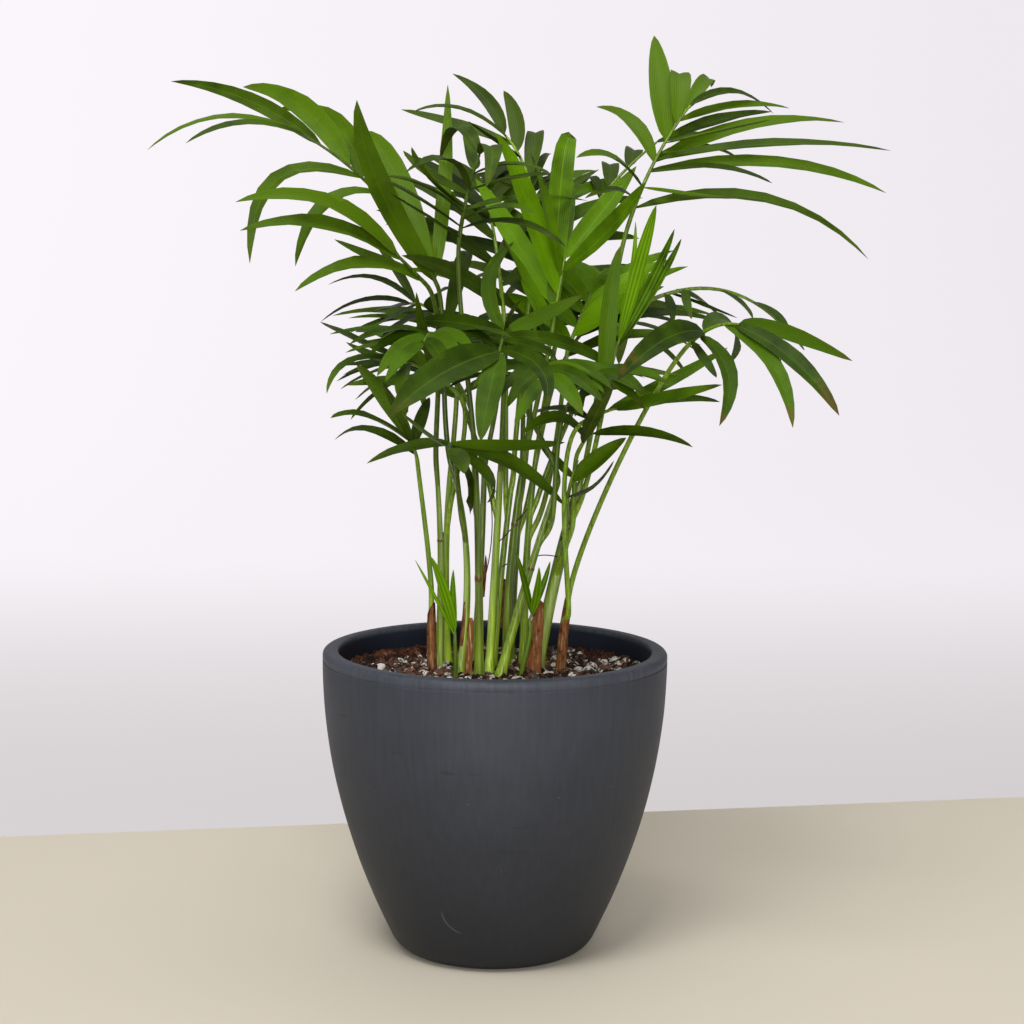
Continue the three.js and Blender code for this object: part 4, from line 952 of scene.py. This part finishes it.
def dropped_pieces(tree, given, place, add_shape):
    """Copies of a shape, each turned and sized by chance, and marked with a tone of its own."""
    lean = 0.7      # radians
    points = add_node(tree, "GeometryNodeDistributePointsOnFaces", {
        "Mesh": given["Bed"], "Selection": upper_patch(tree, given, place), "Distance Min": given["Spacing"],
        "Density Max": 4e5, "Seed": given["Seed"]}, distribute_method="POISSON")
    turn = add_node(tree, "FunctionNodeRandomValue", {
        0: (-lean, -lean, 0), 1: (lean, lean, math.tau), "Seed": 1}, **VECTORS)
    size = add_node(tree, "FunctionNodeRandomValue", {
        0: given["Least"], 1: given["Most"], "Seed": 2}, **VECTORS)
    tone = add_node(tree, "FunctionNodeRandomValue", {0: (0, 0, 0), 1: (1, 1, 1), "Seed": 3}, **VECTORS)
    pieces = add_node(tree, "GeometryNodeInstanceOnPoints", {
        "Points": points, "Instance": add_shape(tree), "Rotation": turn, "Scale": size})
    return add_node(tree, "GeometryNodeStoreNamedAttribute", {
        "Geometry": pieces, "Name": "place", "Value": tone}, domain="INSTANCE", **VECTORS)


def upper_patch(tree, given, place):
    """The part of the bed that faces up and lies within the patch."""
    slope = add_node(tree, "ShaderNodeSeparateXYZ", {0: add_node(tree, "GeometryNodeInputNormal")}, 2)
    upward = add_node(tree, "FunctionNodeCompare", {0: slope, 1: 0.4}, operation="GREATER_THAN")
    away = add_node(tree, "ShaderNodeVectorMath", {
        0: place, 1: given["Centre"]}, "Value", operation="DISTANCE")
    inside = add_node(tree, "FunctionNodeCompare", {0: away, 1: given["Within"]}, operation="LESS_THAN")
    return add_node(tree, "FunctionNodeBooleanMath", {0: upward, 1: inside}, operation="AND")


def one_chip(tree):
    """A block with two units to a side, cut up so that it can be broken out of shape."""
    return add_node(tree, "GeometryNodeMeshCube", {
        "Size": (2, 2, 2), "Vertices X": 4, "Vertices Y": 3, "Vertices Z": 3})


def one_grain(tree):
    """A ball, one unit in radius."""
    return add_node(tree, "GeometryNodeMeshUVSphere", {"Radius": 1, "Segments": 8, "Rings": 6})


def one_fibre(tree):
    """A bent fibre, two units long."""
    line = add_node(tree, "GeometryNodeCurveQuadraticBezier", {
        "Start": (-1, 0, -0.2), "Middle": (0, 0.5, 0.5), "End": (1, -0.2, 0), "Resolution": 7})
    section = add_node(tree, "GeometryNodeCurvePrimitiveCircle", {"Resolution": 5, "Radius": 0.11})
    return add_node(tree, "GeometryNodeCurveToMesh", {
        "Curve": line, "Profile Curve": section, "Fill Caps": True})


def scatter(name, tree, bed, material, smooth=False, **sizes):
    """Drops loose pieces on the bed, and keeps them as one plain mesh."""
    host = bpy.data.objects.new(name, bed.data)
    bpy.context.scene.collection.objects.link(host)
    modifier = host.modifiers.new("scatter", "NODES")
    modifier.node_group = tree
    named = {item.name: item.identifier for item in tree.interface.items_tree if item.in_out == "INPUT"}
    modifier[named["Finish"]] = material
    for label, value in sizes.items():
        modifier[named[label]] = value
    evaluated = host.evaluated_get(bpy.context.evaluated_depsgraph_get())
    mesh = bpy.data.meshes.new_from_object(evaluated)
    host.modifiers.clear()
    bpy.data.objects.remove(host)
    mesh.name = name
    mesh.polygons.foreach_set("use_smooth", [smooth] * len(mesh.polygons))
    return settle(bpy.data.objects.new(name, mesh), "potting_mix", [])


PERLITE_CENTRE, PERLITE_WITHIN = (0.010, -0.012, MIX_TOP.z), 0.078
COIR_PATCHES = {                     # centre on the bed and radius, in metres
    "left": ((-0.058, 0.046, 0.145), 0.019),
    "right": ((0.055, 0.046, 0.145), 0.010),
}


def make_mix(settings):
    """The bed, the bark and perlite that lie on it, and two clumps of coir near the wall."""
    bed = make_mix_bed(settings)
    chips, grains = scatter_tree("loose_chips", one_chip), scatter_tree("loose_grains", one_grain)
    fibres = scatter_tree("loose_fibres", one_fibre)
    bark = crumb("composted_bark", settings.bark, scaled(settings.bark, 4), size=2.2, low=0.42, high=0.84)
    pits = scaled(settings.perlite, 0.3)
    glass = crumb("expanded_perlite", pits, settings.perlite[:], size=1.8, low=0.4, high=0.52)
    coir = crumb("coconut_coir", settings.coir, scaled(settings.coir, 1.8), size=1.2, low=0.4, high=0.8)
    scatter("bark_chips", chips, bed, bark, Centre=(0, 0, MIX_TOP.z), Within=POT_TOP.x, Seed=settings.seed,
            Spacing=settings.chip_spacing, Least=(0.0018, 0.0013, 0.0009), Most=(0.006, 0.0034, 0.002),
            Unevenness=0.003)
    scatter("perlite_grains", grains, bed, glass, Centre=PERLITE_CENTRE, Within=PERLITE_WITHIN,
            Seed=settings.seed + 1, Spacing=settings.perlite_spacing, Least=(0.0012, 0.0012, 0.0012),
            Most=(0.0056, 0.0046, 0.004), Unevenness=0.002)
    for side, (centre, radius) in COIR_PATCHES.items():
        scatter(f"coir_clump_{side}", chips, bed, coir, Centre=centre, Within=radius, Seed=settings.seed + 2,
                Spacing=settings.coir_spacing * 1.4, Least=(0.0022, 0.0016, 0.0016),
                Most=(0.0054, 0.003, 0.0032), Unevenness=0.004)
        scatter(f"coir_fibres_{side}", fibres, bed, coir, smooth=True, Centre=centre, Within=radius,
                Seed=settings.seed + 3, Spacing=settings.coir_spacing, Least=(0.002, 0.002, 0.002),
                Most=(0.006, 0.005, 0.006), Unevenness=0.0015)


# ---------------------------------------------------------------- stems
STEM_FOOT = MIX_TOP.z / MM + 0.3     # the solids' level cut, just above the mix
SUNK = 6                             # the canes run on into the mix by this much
FLARE, FLARE_SHARE = 0.8, 0.12       # extra radius at a cane's foot, and the share of it that flares
STALK_FOOT, STALK_NECK, RIB_TIP = 1.5, 1.15, 0.6
CLASP = 0.16                         # share of a cane's length that the foot of a stalk clasps
SHEATH_WALL, SHEATH_TAPER = 0.35, 0.35
SHEATH_COLUMNS = 14                  # the strips that the top of a dry sheath is torn into
HUSK_WRAP, SHRED_WRAP, SHEATH_WRAP = 300, 240, 350     # degrees that each kind goes round its line
THREAD = 0.3                         # radius of a black thread
CANE_SIDES, CANE_STEPS = 12, 150
STALK_SIDES, RIB_SIDES = 10, 8
MARGIN = 0.9                         # radians to either side that the pale margin of a sheath, a band of painted sheen, fades over


def stem_named(name):
    """The cane of this name."""
    return next(stem for stem in STEMS if stem.name == name)


def stem_curve(stem):
    """A cane's middle line, from the mix to its top."""
    return through((*stem.foot, STEM_FOOT), seen(*stem.half), seen(*stem.top))


def stem_radius(stem, t):
    """Radius along a cane: a flared foot, then an even taper."""
    return between(*stem.radius, t) + FLARE * max(0, 1 - t / FLARE_SHARE) ** 2


def add_cane(shape, stem, settings, draw):
    """A cane with its scars and the pale margin of its sheath, a band of painted sheen that winds a little,
    run on into the mix.
    """
    curve = stem_curve(stem)
    length = (curve.point(1) - curve.point(0)).length
    margin = math.tau * next(draw)
    wind = 2 * (next(draw) - 0.5)
    tone = next(draw)

    def scar(t):
        """1 at a scar and 0 further from it than its reach."""
        return max([0.0] + [1 - abs(t - at) * length / reach for at, reach in SCARS.get(stem.name, ())])

    def radius_at(t):
        return stem_radius(stem, t) + settings.scar_swelling / MM * scar(t)

    def mark_at(t, turn):
        off = abs((turn - margin - wind * t + math.pi) % math.tau - math.pi)
        return (t, scar(t) * max(0, math.cos(turn)) ** 2, max(0, 1 - off / MARGIN))

    base = curve.point(0) - SUNK * curve.tangent(0)
    buried = Bezier(base, curve.point(0))
    add_tube(shape, buried, lambda t: radius_at(0), CANE_SIDES, 1, lambda t, turn: (0, 0, 0), (tone, 0, 0))
    add_tube(shape, curve, radius_at, CANE_SIDES, CANE_STEPS, mark_at, (tone, 0, 0))


def add_torn_sheath(shape, curve, half_width, half_depth, wrap, draw, bleach):
    """A dry sheath round part of a line: a thin shell, fibrous and torn into points at its top."""
    columns = range(SHEATH_COLUMNS + 1)
    torn = [0.7 + 0.3 * next(draw) for _ in columns]
    ridge = [0.72 + 0.32 * next(draw) for _ in columns]
    outside = [(column, 0) for column in columns]
    inside = [(column, SHEATH_WALL / half_width) for column in reversed(columns)]
    rings, place = [], []
    for t in steps_between(0, 1, 18):
        ring = []
        for column, wall in outside + inside:
            turn = math.radians(wrap) * (column / SHEATH_COLUMNS - 0.5)
            share = t * torn[column]
            centre, across, upper = frame_at(curve, share, FRONT)
            swell = ridge[column] * (1 + 0.16 * noise.noise(Vector((column, t * 5, half_width))))
            taper = (1 - SHEATH_TAPER * share ** 2) * swell * (1 - wall)
            way = half_depth * math.cos(turn) * upper + half_width * math.sin(turn) * across
            ring.append(centre + taper * way)
        rings.append(ring)
        place.append([(t, 0, bleach)] * len(ring))
    shape.skin(rings, place, (0, 0, 0))


def make_husks(settings):
    """The dry husks, shreds and threads, and the dry sheaths that two of the stalks rise from."""
    draw = draws(41)
    shape = Shape()
    for foot, top, half, bleach in HUSKS.values():
        line = Bezier((*foot, STEM_FOOT - SUNK), seen(*top))
        add_torn_sheath(shape, line, *half, HUSK_WRAP, draw, bleach)
    for low, high, half, bleach in SHREDS:
        add_torn_sheath(shape, Bezier(seen(*low), seen(*high)), half, half, SHRED_WRAP, draw, bleach)
    for places in THREADS:
        line = through(*[seen(*place) for place in places])
        add_tube(shape, line, lambda t: THREAD, 5, 10, lambda t, turn: (t, 0, -0.9))
    dry = [stem for stem in STEMS if stem.name.endswith("sheath")]
    for stem in dry:
        curve = stem_curve(stem)
        width = stem.radius[0] + 0.3
        line = Bezier(curve.point(0) - SUNK * UP, curve.point(0.5), curve.point(1))
        add_torn_sheath(shape, line, width, width, SHEATH_WRAP, draw, 0.4)
    nodes = [*HUSKS, *[stem.name for stem in dry]]
    make_piece("dry_sheaths", shape, [dry_fibre(settings)], "dry_sheath", nodes)


def make_canes(settings):
    """The green canes."""
    draw = draws(17)
    green = [stem for stem in STEMS if not stem.name.endswith("sheath")]
    shape = Shape()
    for stem in green:
        add_cane(shape, stem, settings, draw)
    names = [stem.name for stem in green]
    make_piece("green_canes", shape, [cane_skin(settings)], "green_stem", names)


# ---------------------------------------------------------------- fronds, by the rule of the solids
LOUVRE, FACE_TURN = 0.4, 0.5         # how far a blade's face leans along its rib, and to the front
DEEPEST = 60                         # most that a leaflet runs towards or away
STIFFNESS = 0.2                      # share of a stalk's length that it keeps its way at either end
LEANS = range(0, 25, 4)              # how far aside the source tries a stalk's line, and its leaflets' tips
SHIFTS = (0, 5, -5, 10, -10, 15, -15, 20, -20, 26, -26, 33, -33, 41, -41, 50, -50)
MATCHES = 1                          # a leaflet's tip is on the solid when it is within this many mm of it
FOLLOWS = 0.95                       # a stalk's line is in the solid when it is on average this near its skin


class Solid:
    """A node of the solids, asked where it is."""

    def __init__(self, name):
        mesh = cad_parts[name].data
        corners = [vertex.co / MM for vertex in mesh.vertices]
        self.surface = BVHTree.FromPolygons(corners, [face.vertices for face in mesh.polygons])
        self.corners = KDTree(len(corners))
        for index, corner in enumerate(corners):
            self.corners.insert(corner, index)
        self.corners.balance()

    def surface_distance(self, point):
        """How far a point is from the solid's skin."""
        return self.surface.find_nearest(point)[3]

    def corner_distance(self, point):
        """How far a point is from the nearest corner of the solid."""
        return self.corners.find(point)[2]


def stalk_start(frond, rib):
    """Where a stalk starts, and the way it leaves."""
    if frond.foot:
        return Vector((*frond.foot, STEM_FOOT)), UP
    stem = stem_named(frond.stem)
    curve = stem_curve(stem)
    along, point = curve.tangent(frond.at), curve.point(frond.at)
    if frond.at == 1:
        return point + 0.4 * along, along
    out = rib.point(0) - point
    out.z = 0
    out.normalize()
    aside = stem_radius(stem, frond.at) + STALK_FOOT + 0.5
    return point + aside * out, (along + 0.22 * out).normalized()


def stalk_curve(frond, rib):
    """A stalk's middle line: the first of the lines that the source tries that its solid follows."""
    solid = Solid(frond.name.replace("frond", "stalk") if frond.split else frond.name)
    start, way = stalk_start(frond, rib)
    arriving = rib.tangent(0)
    end = rib.point(0) - (0.5 * arriving if frond.split else Vector())
    hold = STIFFNESS * (end - start).length
    tried = []
    for lean in LEANS:
        for turn in range(0, 360 if lean else 1, 45):
            angle = math.radians(turn)
            aside = Vector((lean * math.cos(angle), lean * math.sin(angle), 0))
            curve = Bezier(start, start + hold * way + aside, end - hold * arriving + aside, end)
            off = sum(solid.surface_distance(curve.point(t)) for t in (0.3, 0.5, 0.7)) / 3
            if off < FOLLOWS:
                return curve
            tried.append((off, curve))
    return min(tried, key=lambda pair: pair[0])[1]


def tip_depth(root, reach, middle, tip, way):
    """How deep a leaflet's tip lies: what isn't seen of its length runs towards or away."""
    halfway = seen(middle[0], root.y, middle[1])
    shown = (halfway - root).length + (seen(tip[0], root.y, tip[1]) - halfway).length
    hidden = math.sqrt(max(0, reach * reach - shown * shown))
    return root.y + way * min(DEEPEST, hidden)


def measured_leaflets(frond, rib):
    """Each leaflet of a frond whose leaflets are placed one by one."""
    return [measured_leaflet(frond, rib, *row) for row in frond.leaflets]


def measured_leaflet(frond, rib, place, middle_x, middle_z, tip_x, tip_z, way, width):
    """(middle line for a shift, width, face) of a leaflet that is placed by its middle and its tip."""
    tilt = math.radians(frond.face)
    face = Vector((0, -math.sin(tilt), math.cos(tilt)))
    root = rib.point(place)
    depth = tip_depth(root, frond.reach, (middle_x, middle_z), (tip_x, tip_z), way)

    def curve_at(shift):
        halfway = seen(middle_x, (root.y + depth + shift) / 2, middle_z)
        return through(root, halfway, seen(tip_x, depth + shift, tip_z))

    return curve_at, width, face + LOUVRE * rib.tangent(place)


def ruled_leaflets(frond, rib):
    """Each leaflet of a frond that is grown by rule, on the one side of the rib and the other by turns."""
    pairs = frond.sprays[0]
    draw = draws(frond.seed)

    def vary(amount):
        return amount * (next(draw) - 0.5)

    for index in range(2 * pairs):
        step = index / 2 + vary(0.2)
        place = min(1, max(0, 0.05 + 0.95 * step / (pairs - 0.5)))
        yield ruled_leaflet(frond, rib, place, 1 if index % 2 else -1, vary)


def ruled_leaflet(frond, rib, place, side, vary):
    """(middle line for a shift, width, face) of a leaflet that is grown by rule."""
    spread_at_crown, spread_at_end, droop, width, rise = frond.sprays[1:]
    root, along = rib.point(place), rib.tangent(place)
    across = Vector((along.y, -along.x, 0)).normalized()
    upper = across.cross(along).normalized()
    spread = math.radians(between(spread_at_crown, spread_at_end, place) + vary(8))
    lift = math.radians(rise)
    out = math.cos(spread) * along + side * math.cos(lift) * math.sin(spread) * across
    out = (out + math.sin(lift) * math.sin(spread) * upper).normalized()
    fullness = math.sin(math.pi * min(1, place + 0.25))
    length = frond.reach * (0.72 + 0.28 * fullness) * (1 + vary(0.2))
    down = (out - droop * (1 + vary(0.4)) * UP).normalized()
    tip = root + length / 2 * (out + down)
    sight = (tip - EYE) / -EYE.y
    grown = width * (1 + vary(0.3))

    def curve_at(shift):
        end = tip + shift * sight
        return Bezier(root, root + length / 3 * out, end - length / 3 * down, end)

    return curve_at, grown, upper + LOUVRE * along + FACE_TURN * FRONT


def leaflets_of(frond, rib):
    """(middle line, width, face) of each leaflet of a frond, where the source found room for it."""
    solid = Solid(frond.name)
    grow = measured_leaflets if frond.leaflets else ruled_leaflets
    for curve_at, width, face in grow(frond, rib):
        curves = [curve_at(shift) for shift in SHIFTS]
        curve = min(curves, key=lambda tried: solid.corner_distance(tried.point(1)))
        if solid.corner_distance(curve.point(1)) < MATCHES:
            yield curve, width, face


# ---------------------------------------------------------------- fronds, dressed
LOOP = ((-1, 0), (-0.5, 0), (0, 0), (0.5, 0), (1, 0), (0, 1))     # across, and 1 is below
BLADE_FOOT, BLADE_POINT = 0.45, 0.08     # half width of a blade's foot and of its very tip
BLADE_STEPS = 10
BLADE_CROWN = 0.22                        # how far each half of a blade bulges, as a share of its width
VEIN_WIDTH = 1.1                          # from vein to vein
PLEAT_WIDTH = 3                           # from pleat to pleat of an opening leaf, coarse enough for its painted light and shade to show

TINTS = {
    # The shaded tint paints shade on the fronds that lie in shade at the back.
    "shaded": ("frond_top_shaded", "frond_right_shaded", "frond_left_shaded", "frond_back_top"),
    "mid": ("frond_upper_left", "frond_left", "frond_left_low", "frond_small_left", "frond_low_front",
            "frond_top_right", "frond_right_low", "frond_at_cane_node", "frond_back_right", "frond_back",
            "frond_upright"),
    "fresh": ("frond_centre_fan", "frond_core_right"),
    "young": ("frond_new_spear", "shoot_left", "shoot_right"),
}
DRY_TIPS = {"frond_right_arching": 0.4, "frond_right_front": 0.4}


def tint_of(frond):
    """The name of a frond's tint. One that isn't listed is deep."""
    return next((tint for tint, names in TINTS.items() if frond.name in names), "deep")


def blade_share(t):
    """Width along a blade, as a share: widest before the middle, then a long point."""
    return max(0, math.sin(math.pi * t ** 0.75)) ** 0.65


def add_blade(shape, curve, face, width, kind, tone, curl, ripple, settings):
    """A leaflet: a thin folded shell, its two halves slightly crowned, with closer rings towards its ends."""
    rings, place = [], []
    thickness = settings.thickness / MM
    for even in steps_between(0, 1, BLADE_STEPS):
        t = 0.55 * even + 0.45 * (0.5 - 0.5 * math.cos(math.pi * even))
        centre, across, upper = frame_at(curve, t, face)
        turn = Quaternion(curve.tangent(t), curl * t ** 1.5)
        across, upper = turn @ across, turn @ upper
        half = max(BLADE_FOOT if t < 0.2 else BLADE_POINT, width / 2 * blade_share(t))
        wave = ripple * math.sin(math.tau * (2.2 * t + tone))
        ring = []
        for u, below in LOOP:
            crown = BLADE_CROWN * abs(u) * (1 - abs(u))
            rise = half * (settings.fold * abs(u) + crown + wave * u * u * (1 if u < 0 else -1))
            ring.append(centre + half * u * across + (rise - below * thickness * min(1, half)) * upper)
        rings.append(ring)
        place.append([(u, t, tone) for u, _ in LOOP])
    shape.skin(rings, place, kind, slots=(0, 0, 0, 0, 1, 1))


def add_stalk(shape, frond, rib, tone):
    """The stalk and the rib, as one round tapering line that comes out of the cane by a clasping foot."""
    stalk = stalk_curve(frond, rib)
    kind = (tone, 0, 0)
    if frond.foot:
        sunk = Bezier(stalk.point(0) - SUNK * UP, stalk.point(0))
        add_tube(shape, sunk, lambda t: STALK_FOOT, RIB_SIDES, 1, lambda t, turn: (0, 0, 0), kind)
    else:
        add_clasp(shape, frond, stalk, kind)
    add_tube(shape, stalk, lambda t: between(STALK_FOOT, STALK_NECK, t), STALK_SIDES, 24,
             lambda t, turn: (0.4 + 0.6 * t, 0, 0), kind)
    if frond.split:
        joint = Bezier(stalk.point(1) - stalk.tangent(1), rib.point(0) + rib.tangent(0))
        add_tube(shape, joint, lambda t: STALK_NECK, STALK_SIDES, 1, lambda t, turn: (1, 0, 0), kind)
    add_tube(shape, rib, lambda t: between(STALK_NECK, RIB_TIP, t), RIB_SIDES, 16,
             lambda t, turn: (1, 0, 0), kind)


def add_clasp(shape, frond, stalk, kind):
    """The foot of a stalk, which runs up round its cane before it leaves it."""
    stem = stem_named(frond.stem)
    curve = stem_curve(stem)
    lower = max(0.0, frond.at - CLASP)
    low, high = curve.point(lower), stalk.point(0)
    held = 0.5 * (high - low).length
    clasp = Bezier(low, low + held * curve.tangent(lower), high - held * stalk.tangent(0), high)
    wide = stem_radius(stem, lower) * 0.9
    add_tube(shape, clasp, lambda t: between(wide, STALK_FOOT, t), STALK_SIDES, 8,
             lambda t, turn: (0.3, 0, 0), kind)


def add_leaflets(shape, frond, rib, leaf, draw):
    """The blades of a frond, each with a tone, a curl and a ripple of its own."""
    opened, vein = (leaf.young_width, PLEAT_WIDTH) if frond.young else (1, VEIN_WIDTH)
    for curve, width, face in leaflets_of(frond, rib):
        tone = next(draw)
        curl = leaf.curl * (2 * next(draw) - 1)
        ripple = 0.1 * next(draw)
        dryness = DRY_TIPS.get(frond.name, 0.15 * next(draw))
        kind = (dryness, math.pi * width / vein, 0)
        add_blade(shape, curve, face, width * opened, kind, tone, curl, ripple, leaf)


def make_fronds(leaf, stem):
    """All the stalks in one piece, and the leaflets in one piece for each tint."""
    draw = draws(97)
    shapes, nodes = {}, {}
    stalks = Shape()
    for frond in FRONDS:
        rib = through(*[seen(*point) for point in frond.rib])
        add_stalk(stalks, frond, rib, next(draw))
        tint = tint_of(frond)
        nodes.setdefault(tint, []).append(frond.name)
        add_leaflets(shapes.setdefault(tint, Shape()), frond, rib, leaf, draw)
    below = leaf_skin("leaf_lower_skin", leaf.underside, leaf.dry, gloss=0.6)
    for tint, shape in shapes.items():
        # Opening leaves get strong painted light and shade of their pleats.
        slot, vein_tone_and_pleat_shade = ("new_leaf", 0.28) if tint == "young" else ("leaf_green", 0.05)
        above = leaf_skin(f"leaf_{tint}_upper_skin", getattr(leaf, tint), leaf.dry, 0.36, vein_tone_and_pleat_shade)
        make_piece(f"leaflets_{tint}", shape, [above, below], slot, nodes[tint])
    split = [frond.name.replace("frond", "stalk") for frond in FRONDS if frond.split]
    make_piece("leaf_stalks", stalks, [cane_skin(stem)], "leaf_stalk", split)


# ---------------------------------------------------------------- stage
TABLE_SLOPE = 0.19                   # the table's back edge runs further away to the right
TABLE_FRONT, TABLE_HALF_WIDTH = -2.0, 5.0
PAPER_BEND, PAPER_ROUND = 2.2, 1.2   # where the paper starts to rise, and the radius that it rises by
PAPER_HALF_WIDTH = 1.25
LIGHTS = {                           # place and size in metres, and power in watts
    "key_light": ((-0.35, -1.1, 2.1), 0.9, 30),
    "front_light": ((0.1, -4.5, 1.1), 1.8, 120),
    "top_light": ((0.2, 0.3, 1.9), 1.2, 7),
    "right_light": ((1.6, -0.9, 0.9), 1.0, 1),
}
AIM = (0, 0, 0.25)                   # what the lights face
EYE_PLACE = (8.2036, -1192.62, 378.04)         # in mm, which EYE rounds
LOOKS_DOWN, ROLLS = 0.1229, 0.0092   # radians


def make_floor(settings):
    """A table that ends behind the plant, and pale paper that runs on from it and curves up."""
    back = settings.table_back
    table = [(TABLE_FRONT, 0), (back, 0)]
    angles = steps_between(0.13, math.pi / 2, 12)
    rise = [(PAPER_BEND + PAPER_ROUND * math.sin(a), PAPER_ROUND * (1 - math.cos(a))) for a in angles]
    paper = [(back, 0), (PAPER_BEND, 0), *rise]
    points, faces, kinds = [], [], []
    for kind, (line, wide) in enumerate(((table, TABLE_HALF_WIDTH), (paper, PAPER_HALF_WIDTH))):
        for row, (y, z) in enumerate(line):
            slope = TABLE_SLOPE * wide if y == back else 0
            points += [(-wide, y - slope, z), (wide, y + slope, z)]
            if row:
                last = len(points) - 1
                faces.append((last - 3, last - 2, last, last - 1))
                kinds.append(kind)
    mesh = bpy.data.meshes.new("floor")
    mesh.from_pydata(points, [], faces)
    mesh.materials.append(matt_table(settings))
    mesh.materials.append(lit_paper(settings))
    mesh.polygons.foreach_set("material_index", kinds)
    floor = bpy.data.objects.new("floor", mesh)
    bpy.context.scene.collection.objects.link(floor)
    floor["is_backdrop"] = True


def add_soft_light(name, place, size, power):
    """A square soft box that faces the plant."""
    light = bpy.data.lights.new(name, "AREA")
    light.size, light.energy = size, power
    box = bpy.data.objects.new(name, light)
    box.location = place
    box.rotation_euler = (Vector(place) - Vector(AIM)).to_track_quat("Z", "Y").to_euler()
    bpy.context.scene.collection.objects.link(box)


def light_room(settings):
    """The light of the room, the same from all round."""
    world = bpy.data.worlds.new("room")
    world.use_nodes = True
    background = world.node_tree.nodes["Background"]
    background.inputs["Color"].default_value = settings.room[:]
    background.inputs["Strength"].default_value = settings.room_strength
    bpy.context.scene.world = world


def place_camera(settings):
    """The camera, a little above the plant's middle, looking slightly down."""
    camera = bpy.data.cameras.new("camera")
    camera.lens, camera.sensor_width = settings.lens, 36
    eye = bpy.data.objects.new("camera", camera)
    tilt = Matrix.Rotation(math.pi / 2 - LOOKS_DOWN, 4, "X") @ Matrix.Rotation(ROLLS, 4, "Z")
    eye.matrix_world = Matrix.Translation(Vector(EYE_PLACE) * MM) @ tilt
    bpy.context.scene.collection.objects.link(eye)
    bpy.context.scene.camera = eye


def make_stage(settings):
    """Floor, soft lights, the light of the room, and the camera."""
    make_floor(settings)
    for name, (place, size, power) in LIGHTS.items():
        add_soft_light(name, place, size, power)
    light_room(settings)
    bpy.context.scene.view_settings.view_transform = "Standard"
    place_camera(settings)


# ---------------------------------------------------------------- add-on
class PALM_OT_stage(bpy.types.Operator):
    """Build the floor, the backdrop, the lights and the camera"""

    bl_idname = "palm.stage"
    bl_label = "Stage"

    def execute(self, context):
        make_stage(context.scene.palm_stage)
        return {"FINISHED"}


class PALM_OT_pot(bpy.types.Operator):
    """Build the charcoal pot"""

    bl_idname = "palm.pot"
    bl_label = "Pot"

    def execute(self, context):
        make_pot(context.scene.palm_pot)
        return {"FINISHED"}


class PALM_OT_mix(bpy.types.Operator):
    """Build the potting mix: its bed, bark, perlite and coir"""

    bl_idname = "palm.mix"
    bl_label = "Potting mix"

    def execute(self, context):
        make_mix(context.scene.palm_mix)
        return {"FINISHED"}


class PALM_OT_canes(bpy.types.Operator):
    """Build the green canes"""

    bl_idname = "palm.canes"
    bl_label = "Canes"

    def execute(self, context):
        make_canes(context.scene.palm_stem)
        return {"FINISHED"}


class PALM_OT_husks(bpy.types.Operator):
    """Build the dry husks and sheaths"""

    bl_idname = "palm.husks"
    bl_label = "Husks"

    def execute(self, context):
        make_husks(context.scene.palm_stem)
        return {"FINISHED"}


class PALM_OT_fronds(bpy.types.Operator):
    """Build the stalks, the ribs and the leaflets"""

    bl_idname = "palm.fronds"
    bl_label = "Fronds"

    def execute(self, context):
        make_fronds(context.scene.palm_leaf, context.scene.palm_stem)
        return {"FINISHED"}


OPERATORS = (PALM_OT_stage, PALM_OT_pot, PALM_OT_mix, PALM_OT_canes, PALM_OT_husks, PALM_OT_fronds)
SETTINGS = {
    "palm_stage": StageSettings,
    "palm_pot": PotSettings,
    "palm_mix": MixSettings,
    "palm_stem": StemSettings,
    "palm_leaf": LeafSettings,
}


class PALM_PT_sidebar(bpy.types.Panel):
    """Sizes and colours of the palm, and a button for each part of it"""

    bl_label = "Parlour palm"
    bl_category = "Palm"
    bl_space_type = "VIEW_3D"
    bl_region_type = "UI"

    def draw(self, context):
        for operator in OPERATORS:
            self.layout.operator(operator.bl_idname)
        for name, group in SETTINGS.items():
            box = self.layout.box()
            for setting in group.__annotations__:
                box.prop(getattr(context.scene, name), setting)


def register():
    """Adds the settings to the scene, and the operators and the panel to Blender."""
    for name, group in SETTINGS.items():
        bpy.utils.register_class(group)
        setattr(bpy.types.Scene, name, PointerProperty(type=group))
    for shown in (*OPERATORS, PALM_PT_sidebar):
        bpy.utils.register_class(shown)


def unregister():
    """Takes them away again, in the opposite order."""
    for shown in (PALM_PT_sidebar, *OPERATORS):
        bpy.utils.unregister_class(shown)
    for name, group in SETTINGS.items():
        delattr(bpy.types.Scene, name)
        bpy.utils.unregister_class(group)


def main():
    """Builds the plant, and works out the box of the solids and of the finished model."""
    register()
    bpy.ops.palm.stage()
    bpy.ops.palm.pot()
    bpy.ops.palm.mix()
    bpy.ops.palm.canes()
    bpy.ops.palm.husks()
    bpy.ops.palm.fronds()
    boxes = {"cad": CAD_BOX, "visual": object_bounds()}
    {name: [list(corner) for corner in box] for name, box in boxes.items()}


if __name__ == "__main__":
    main()
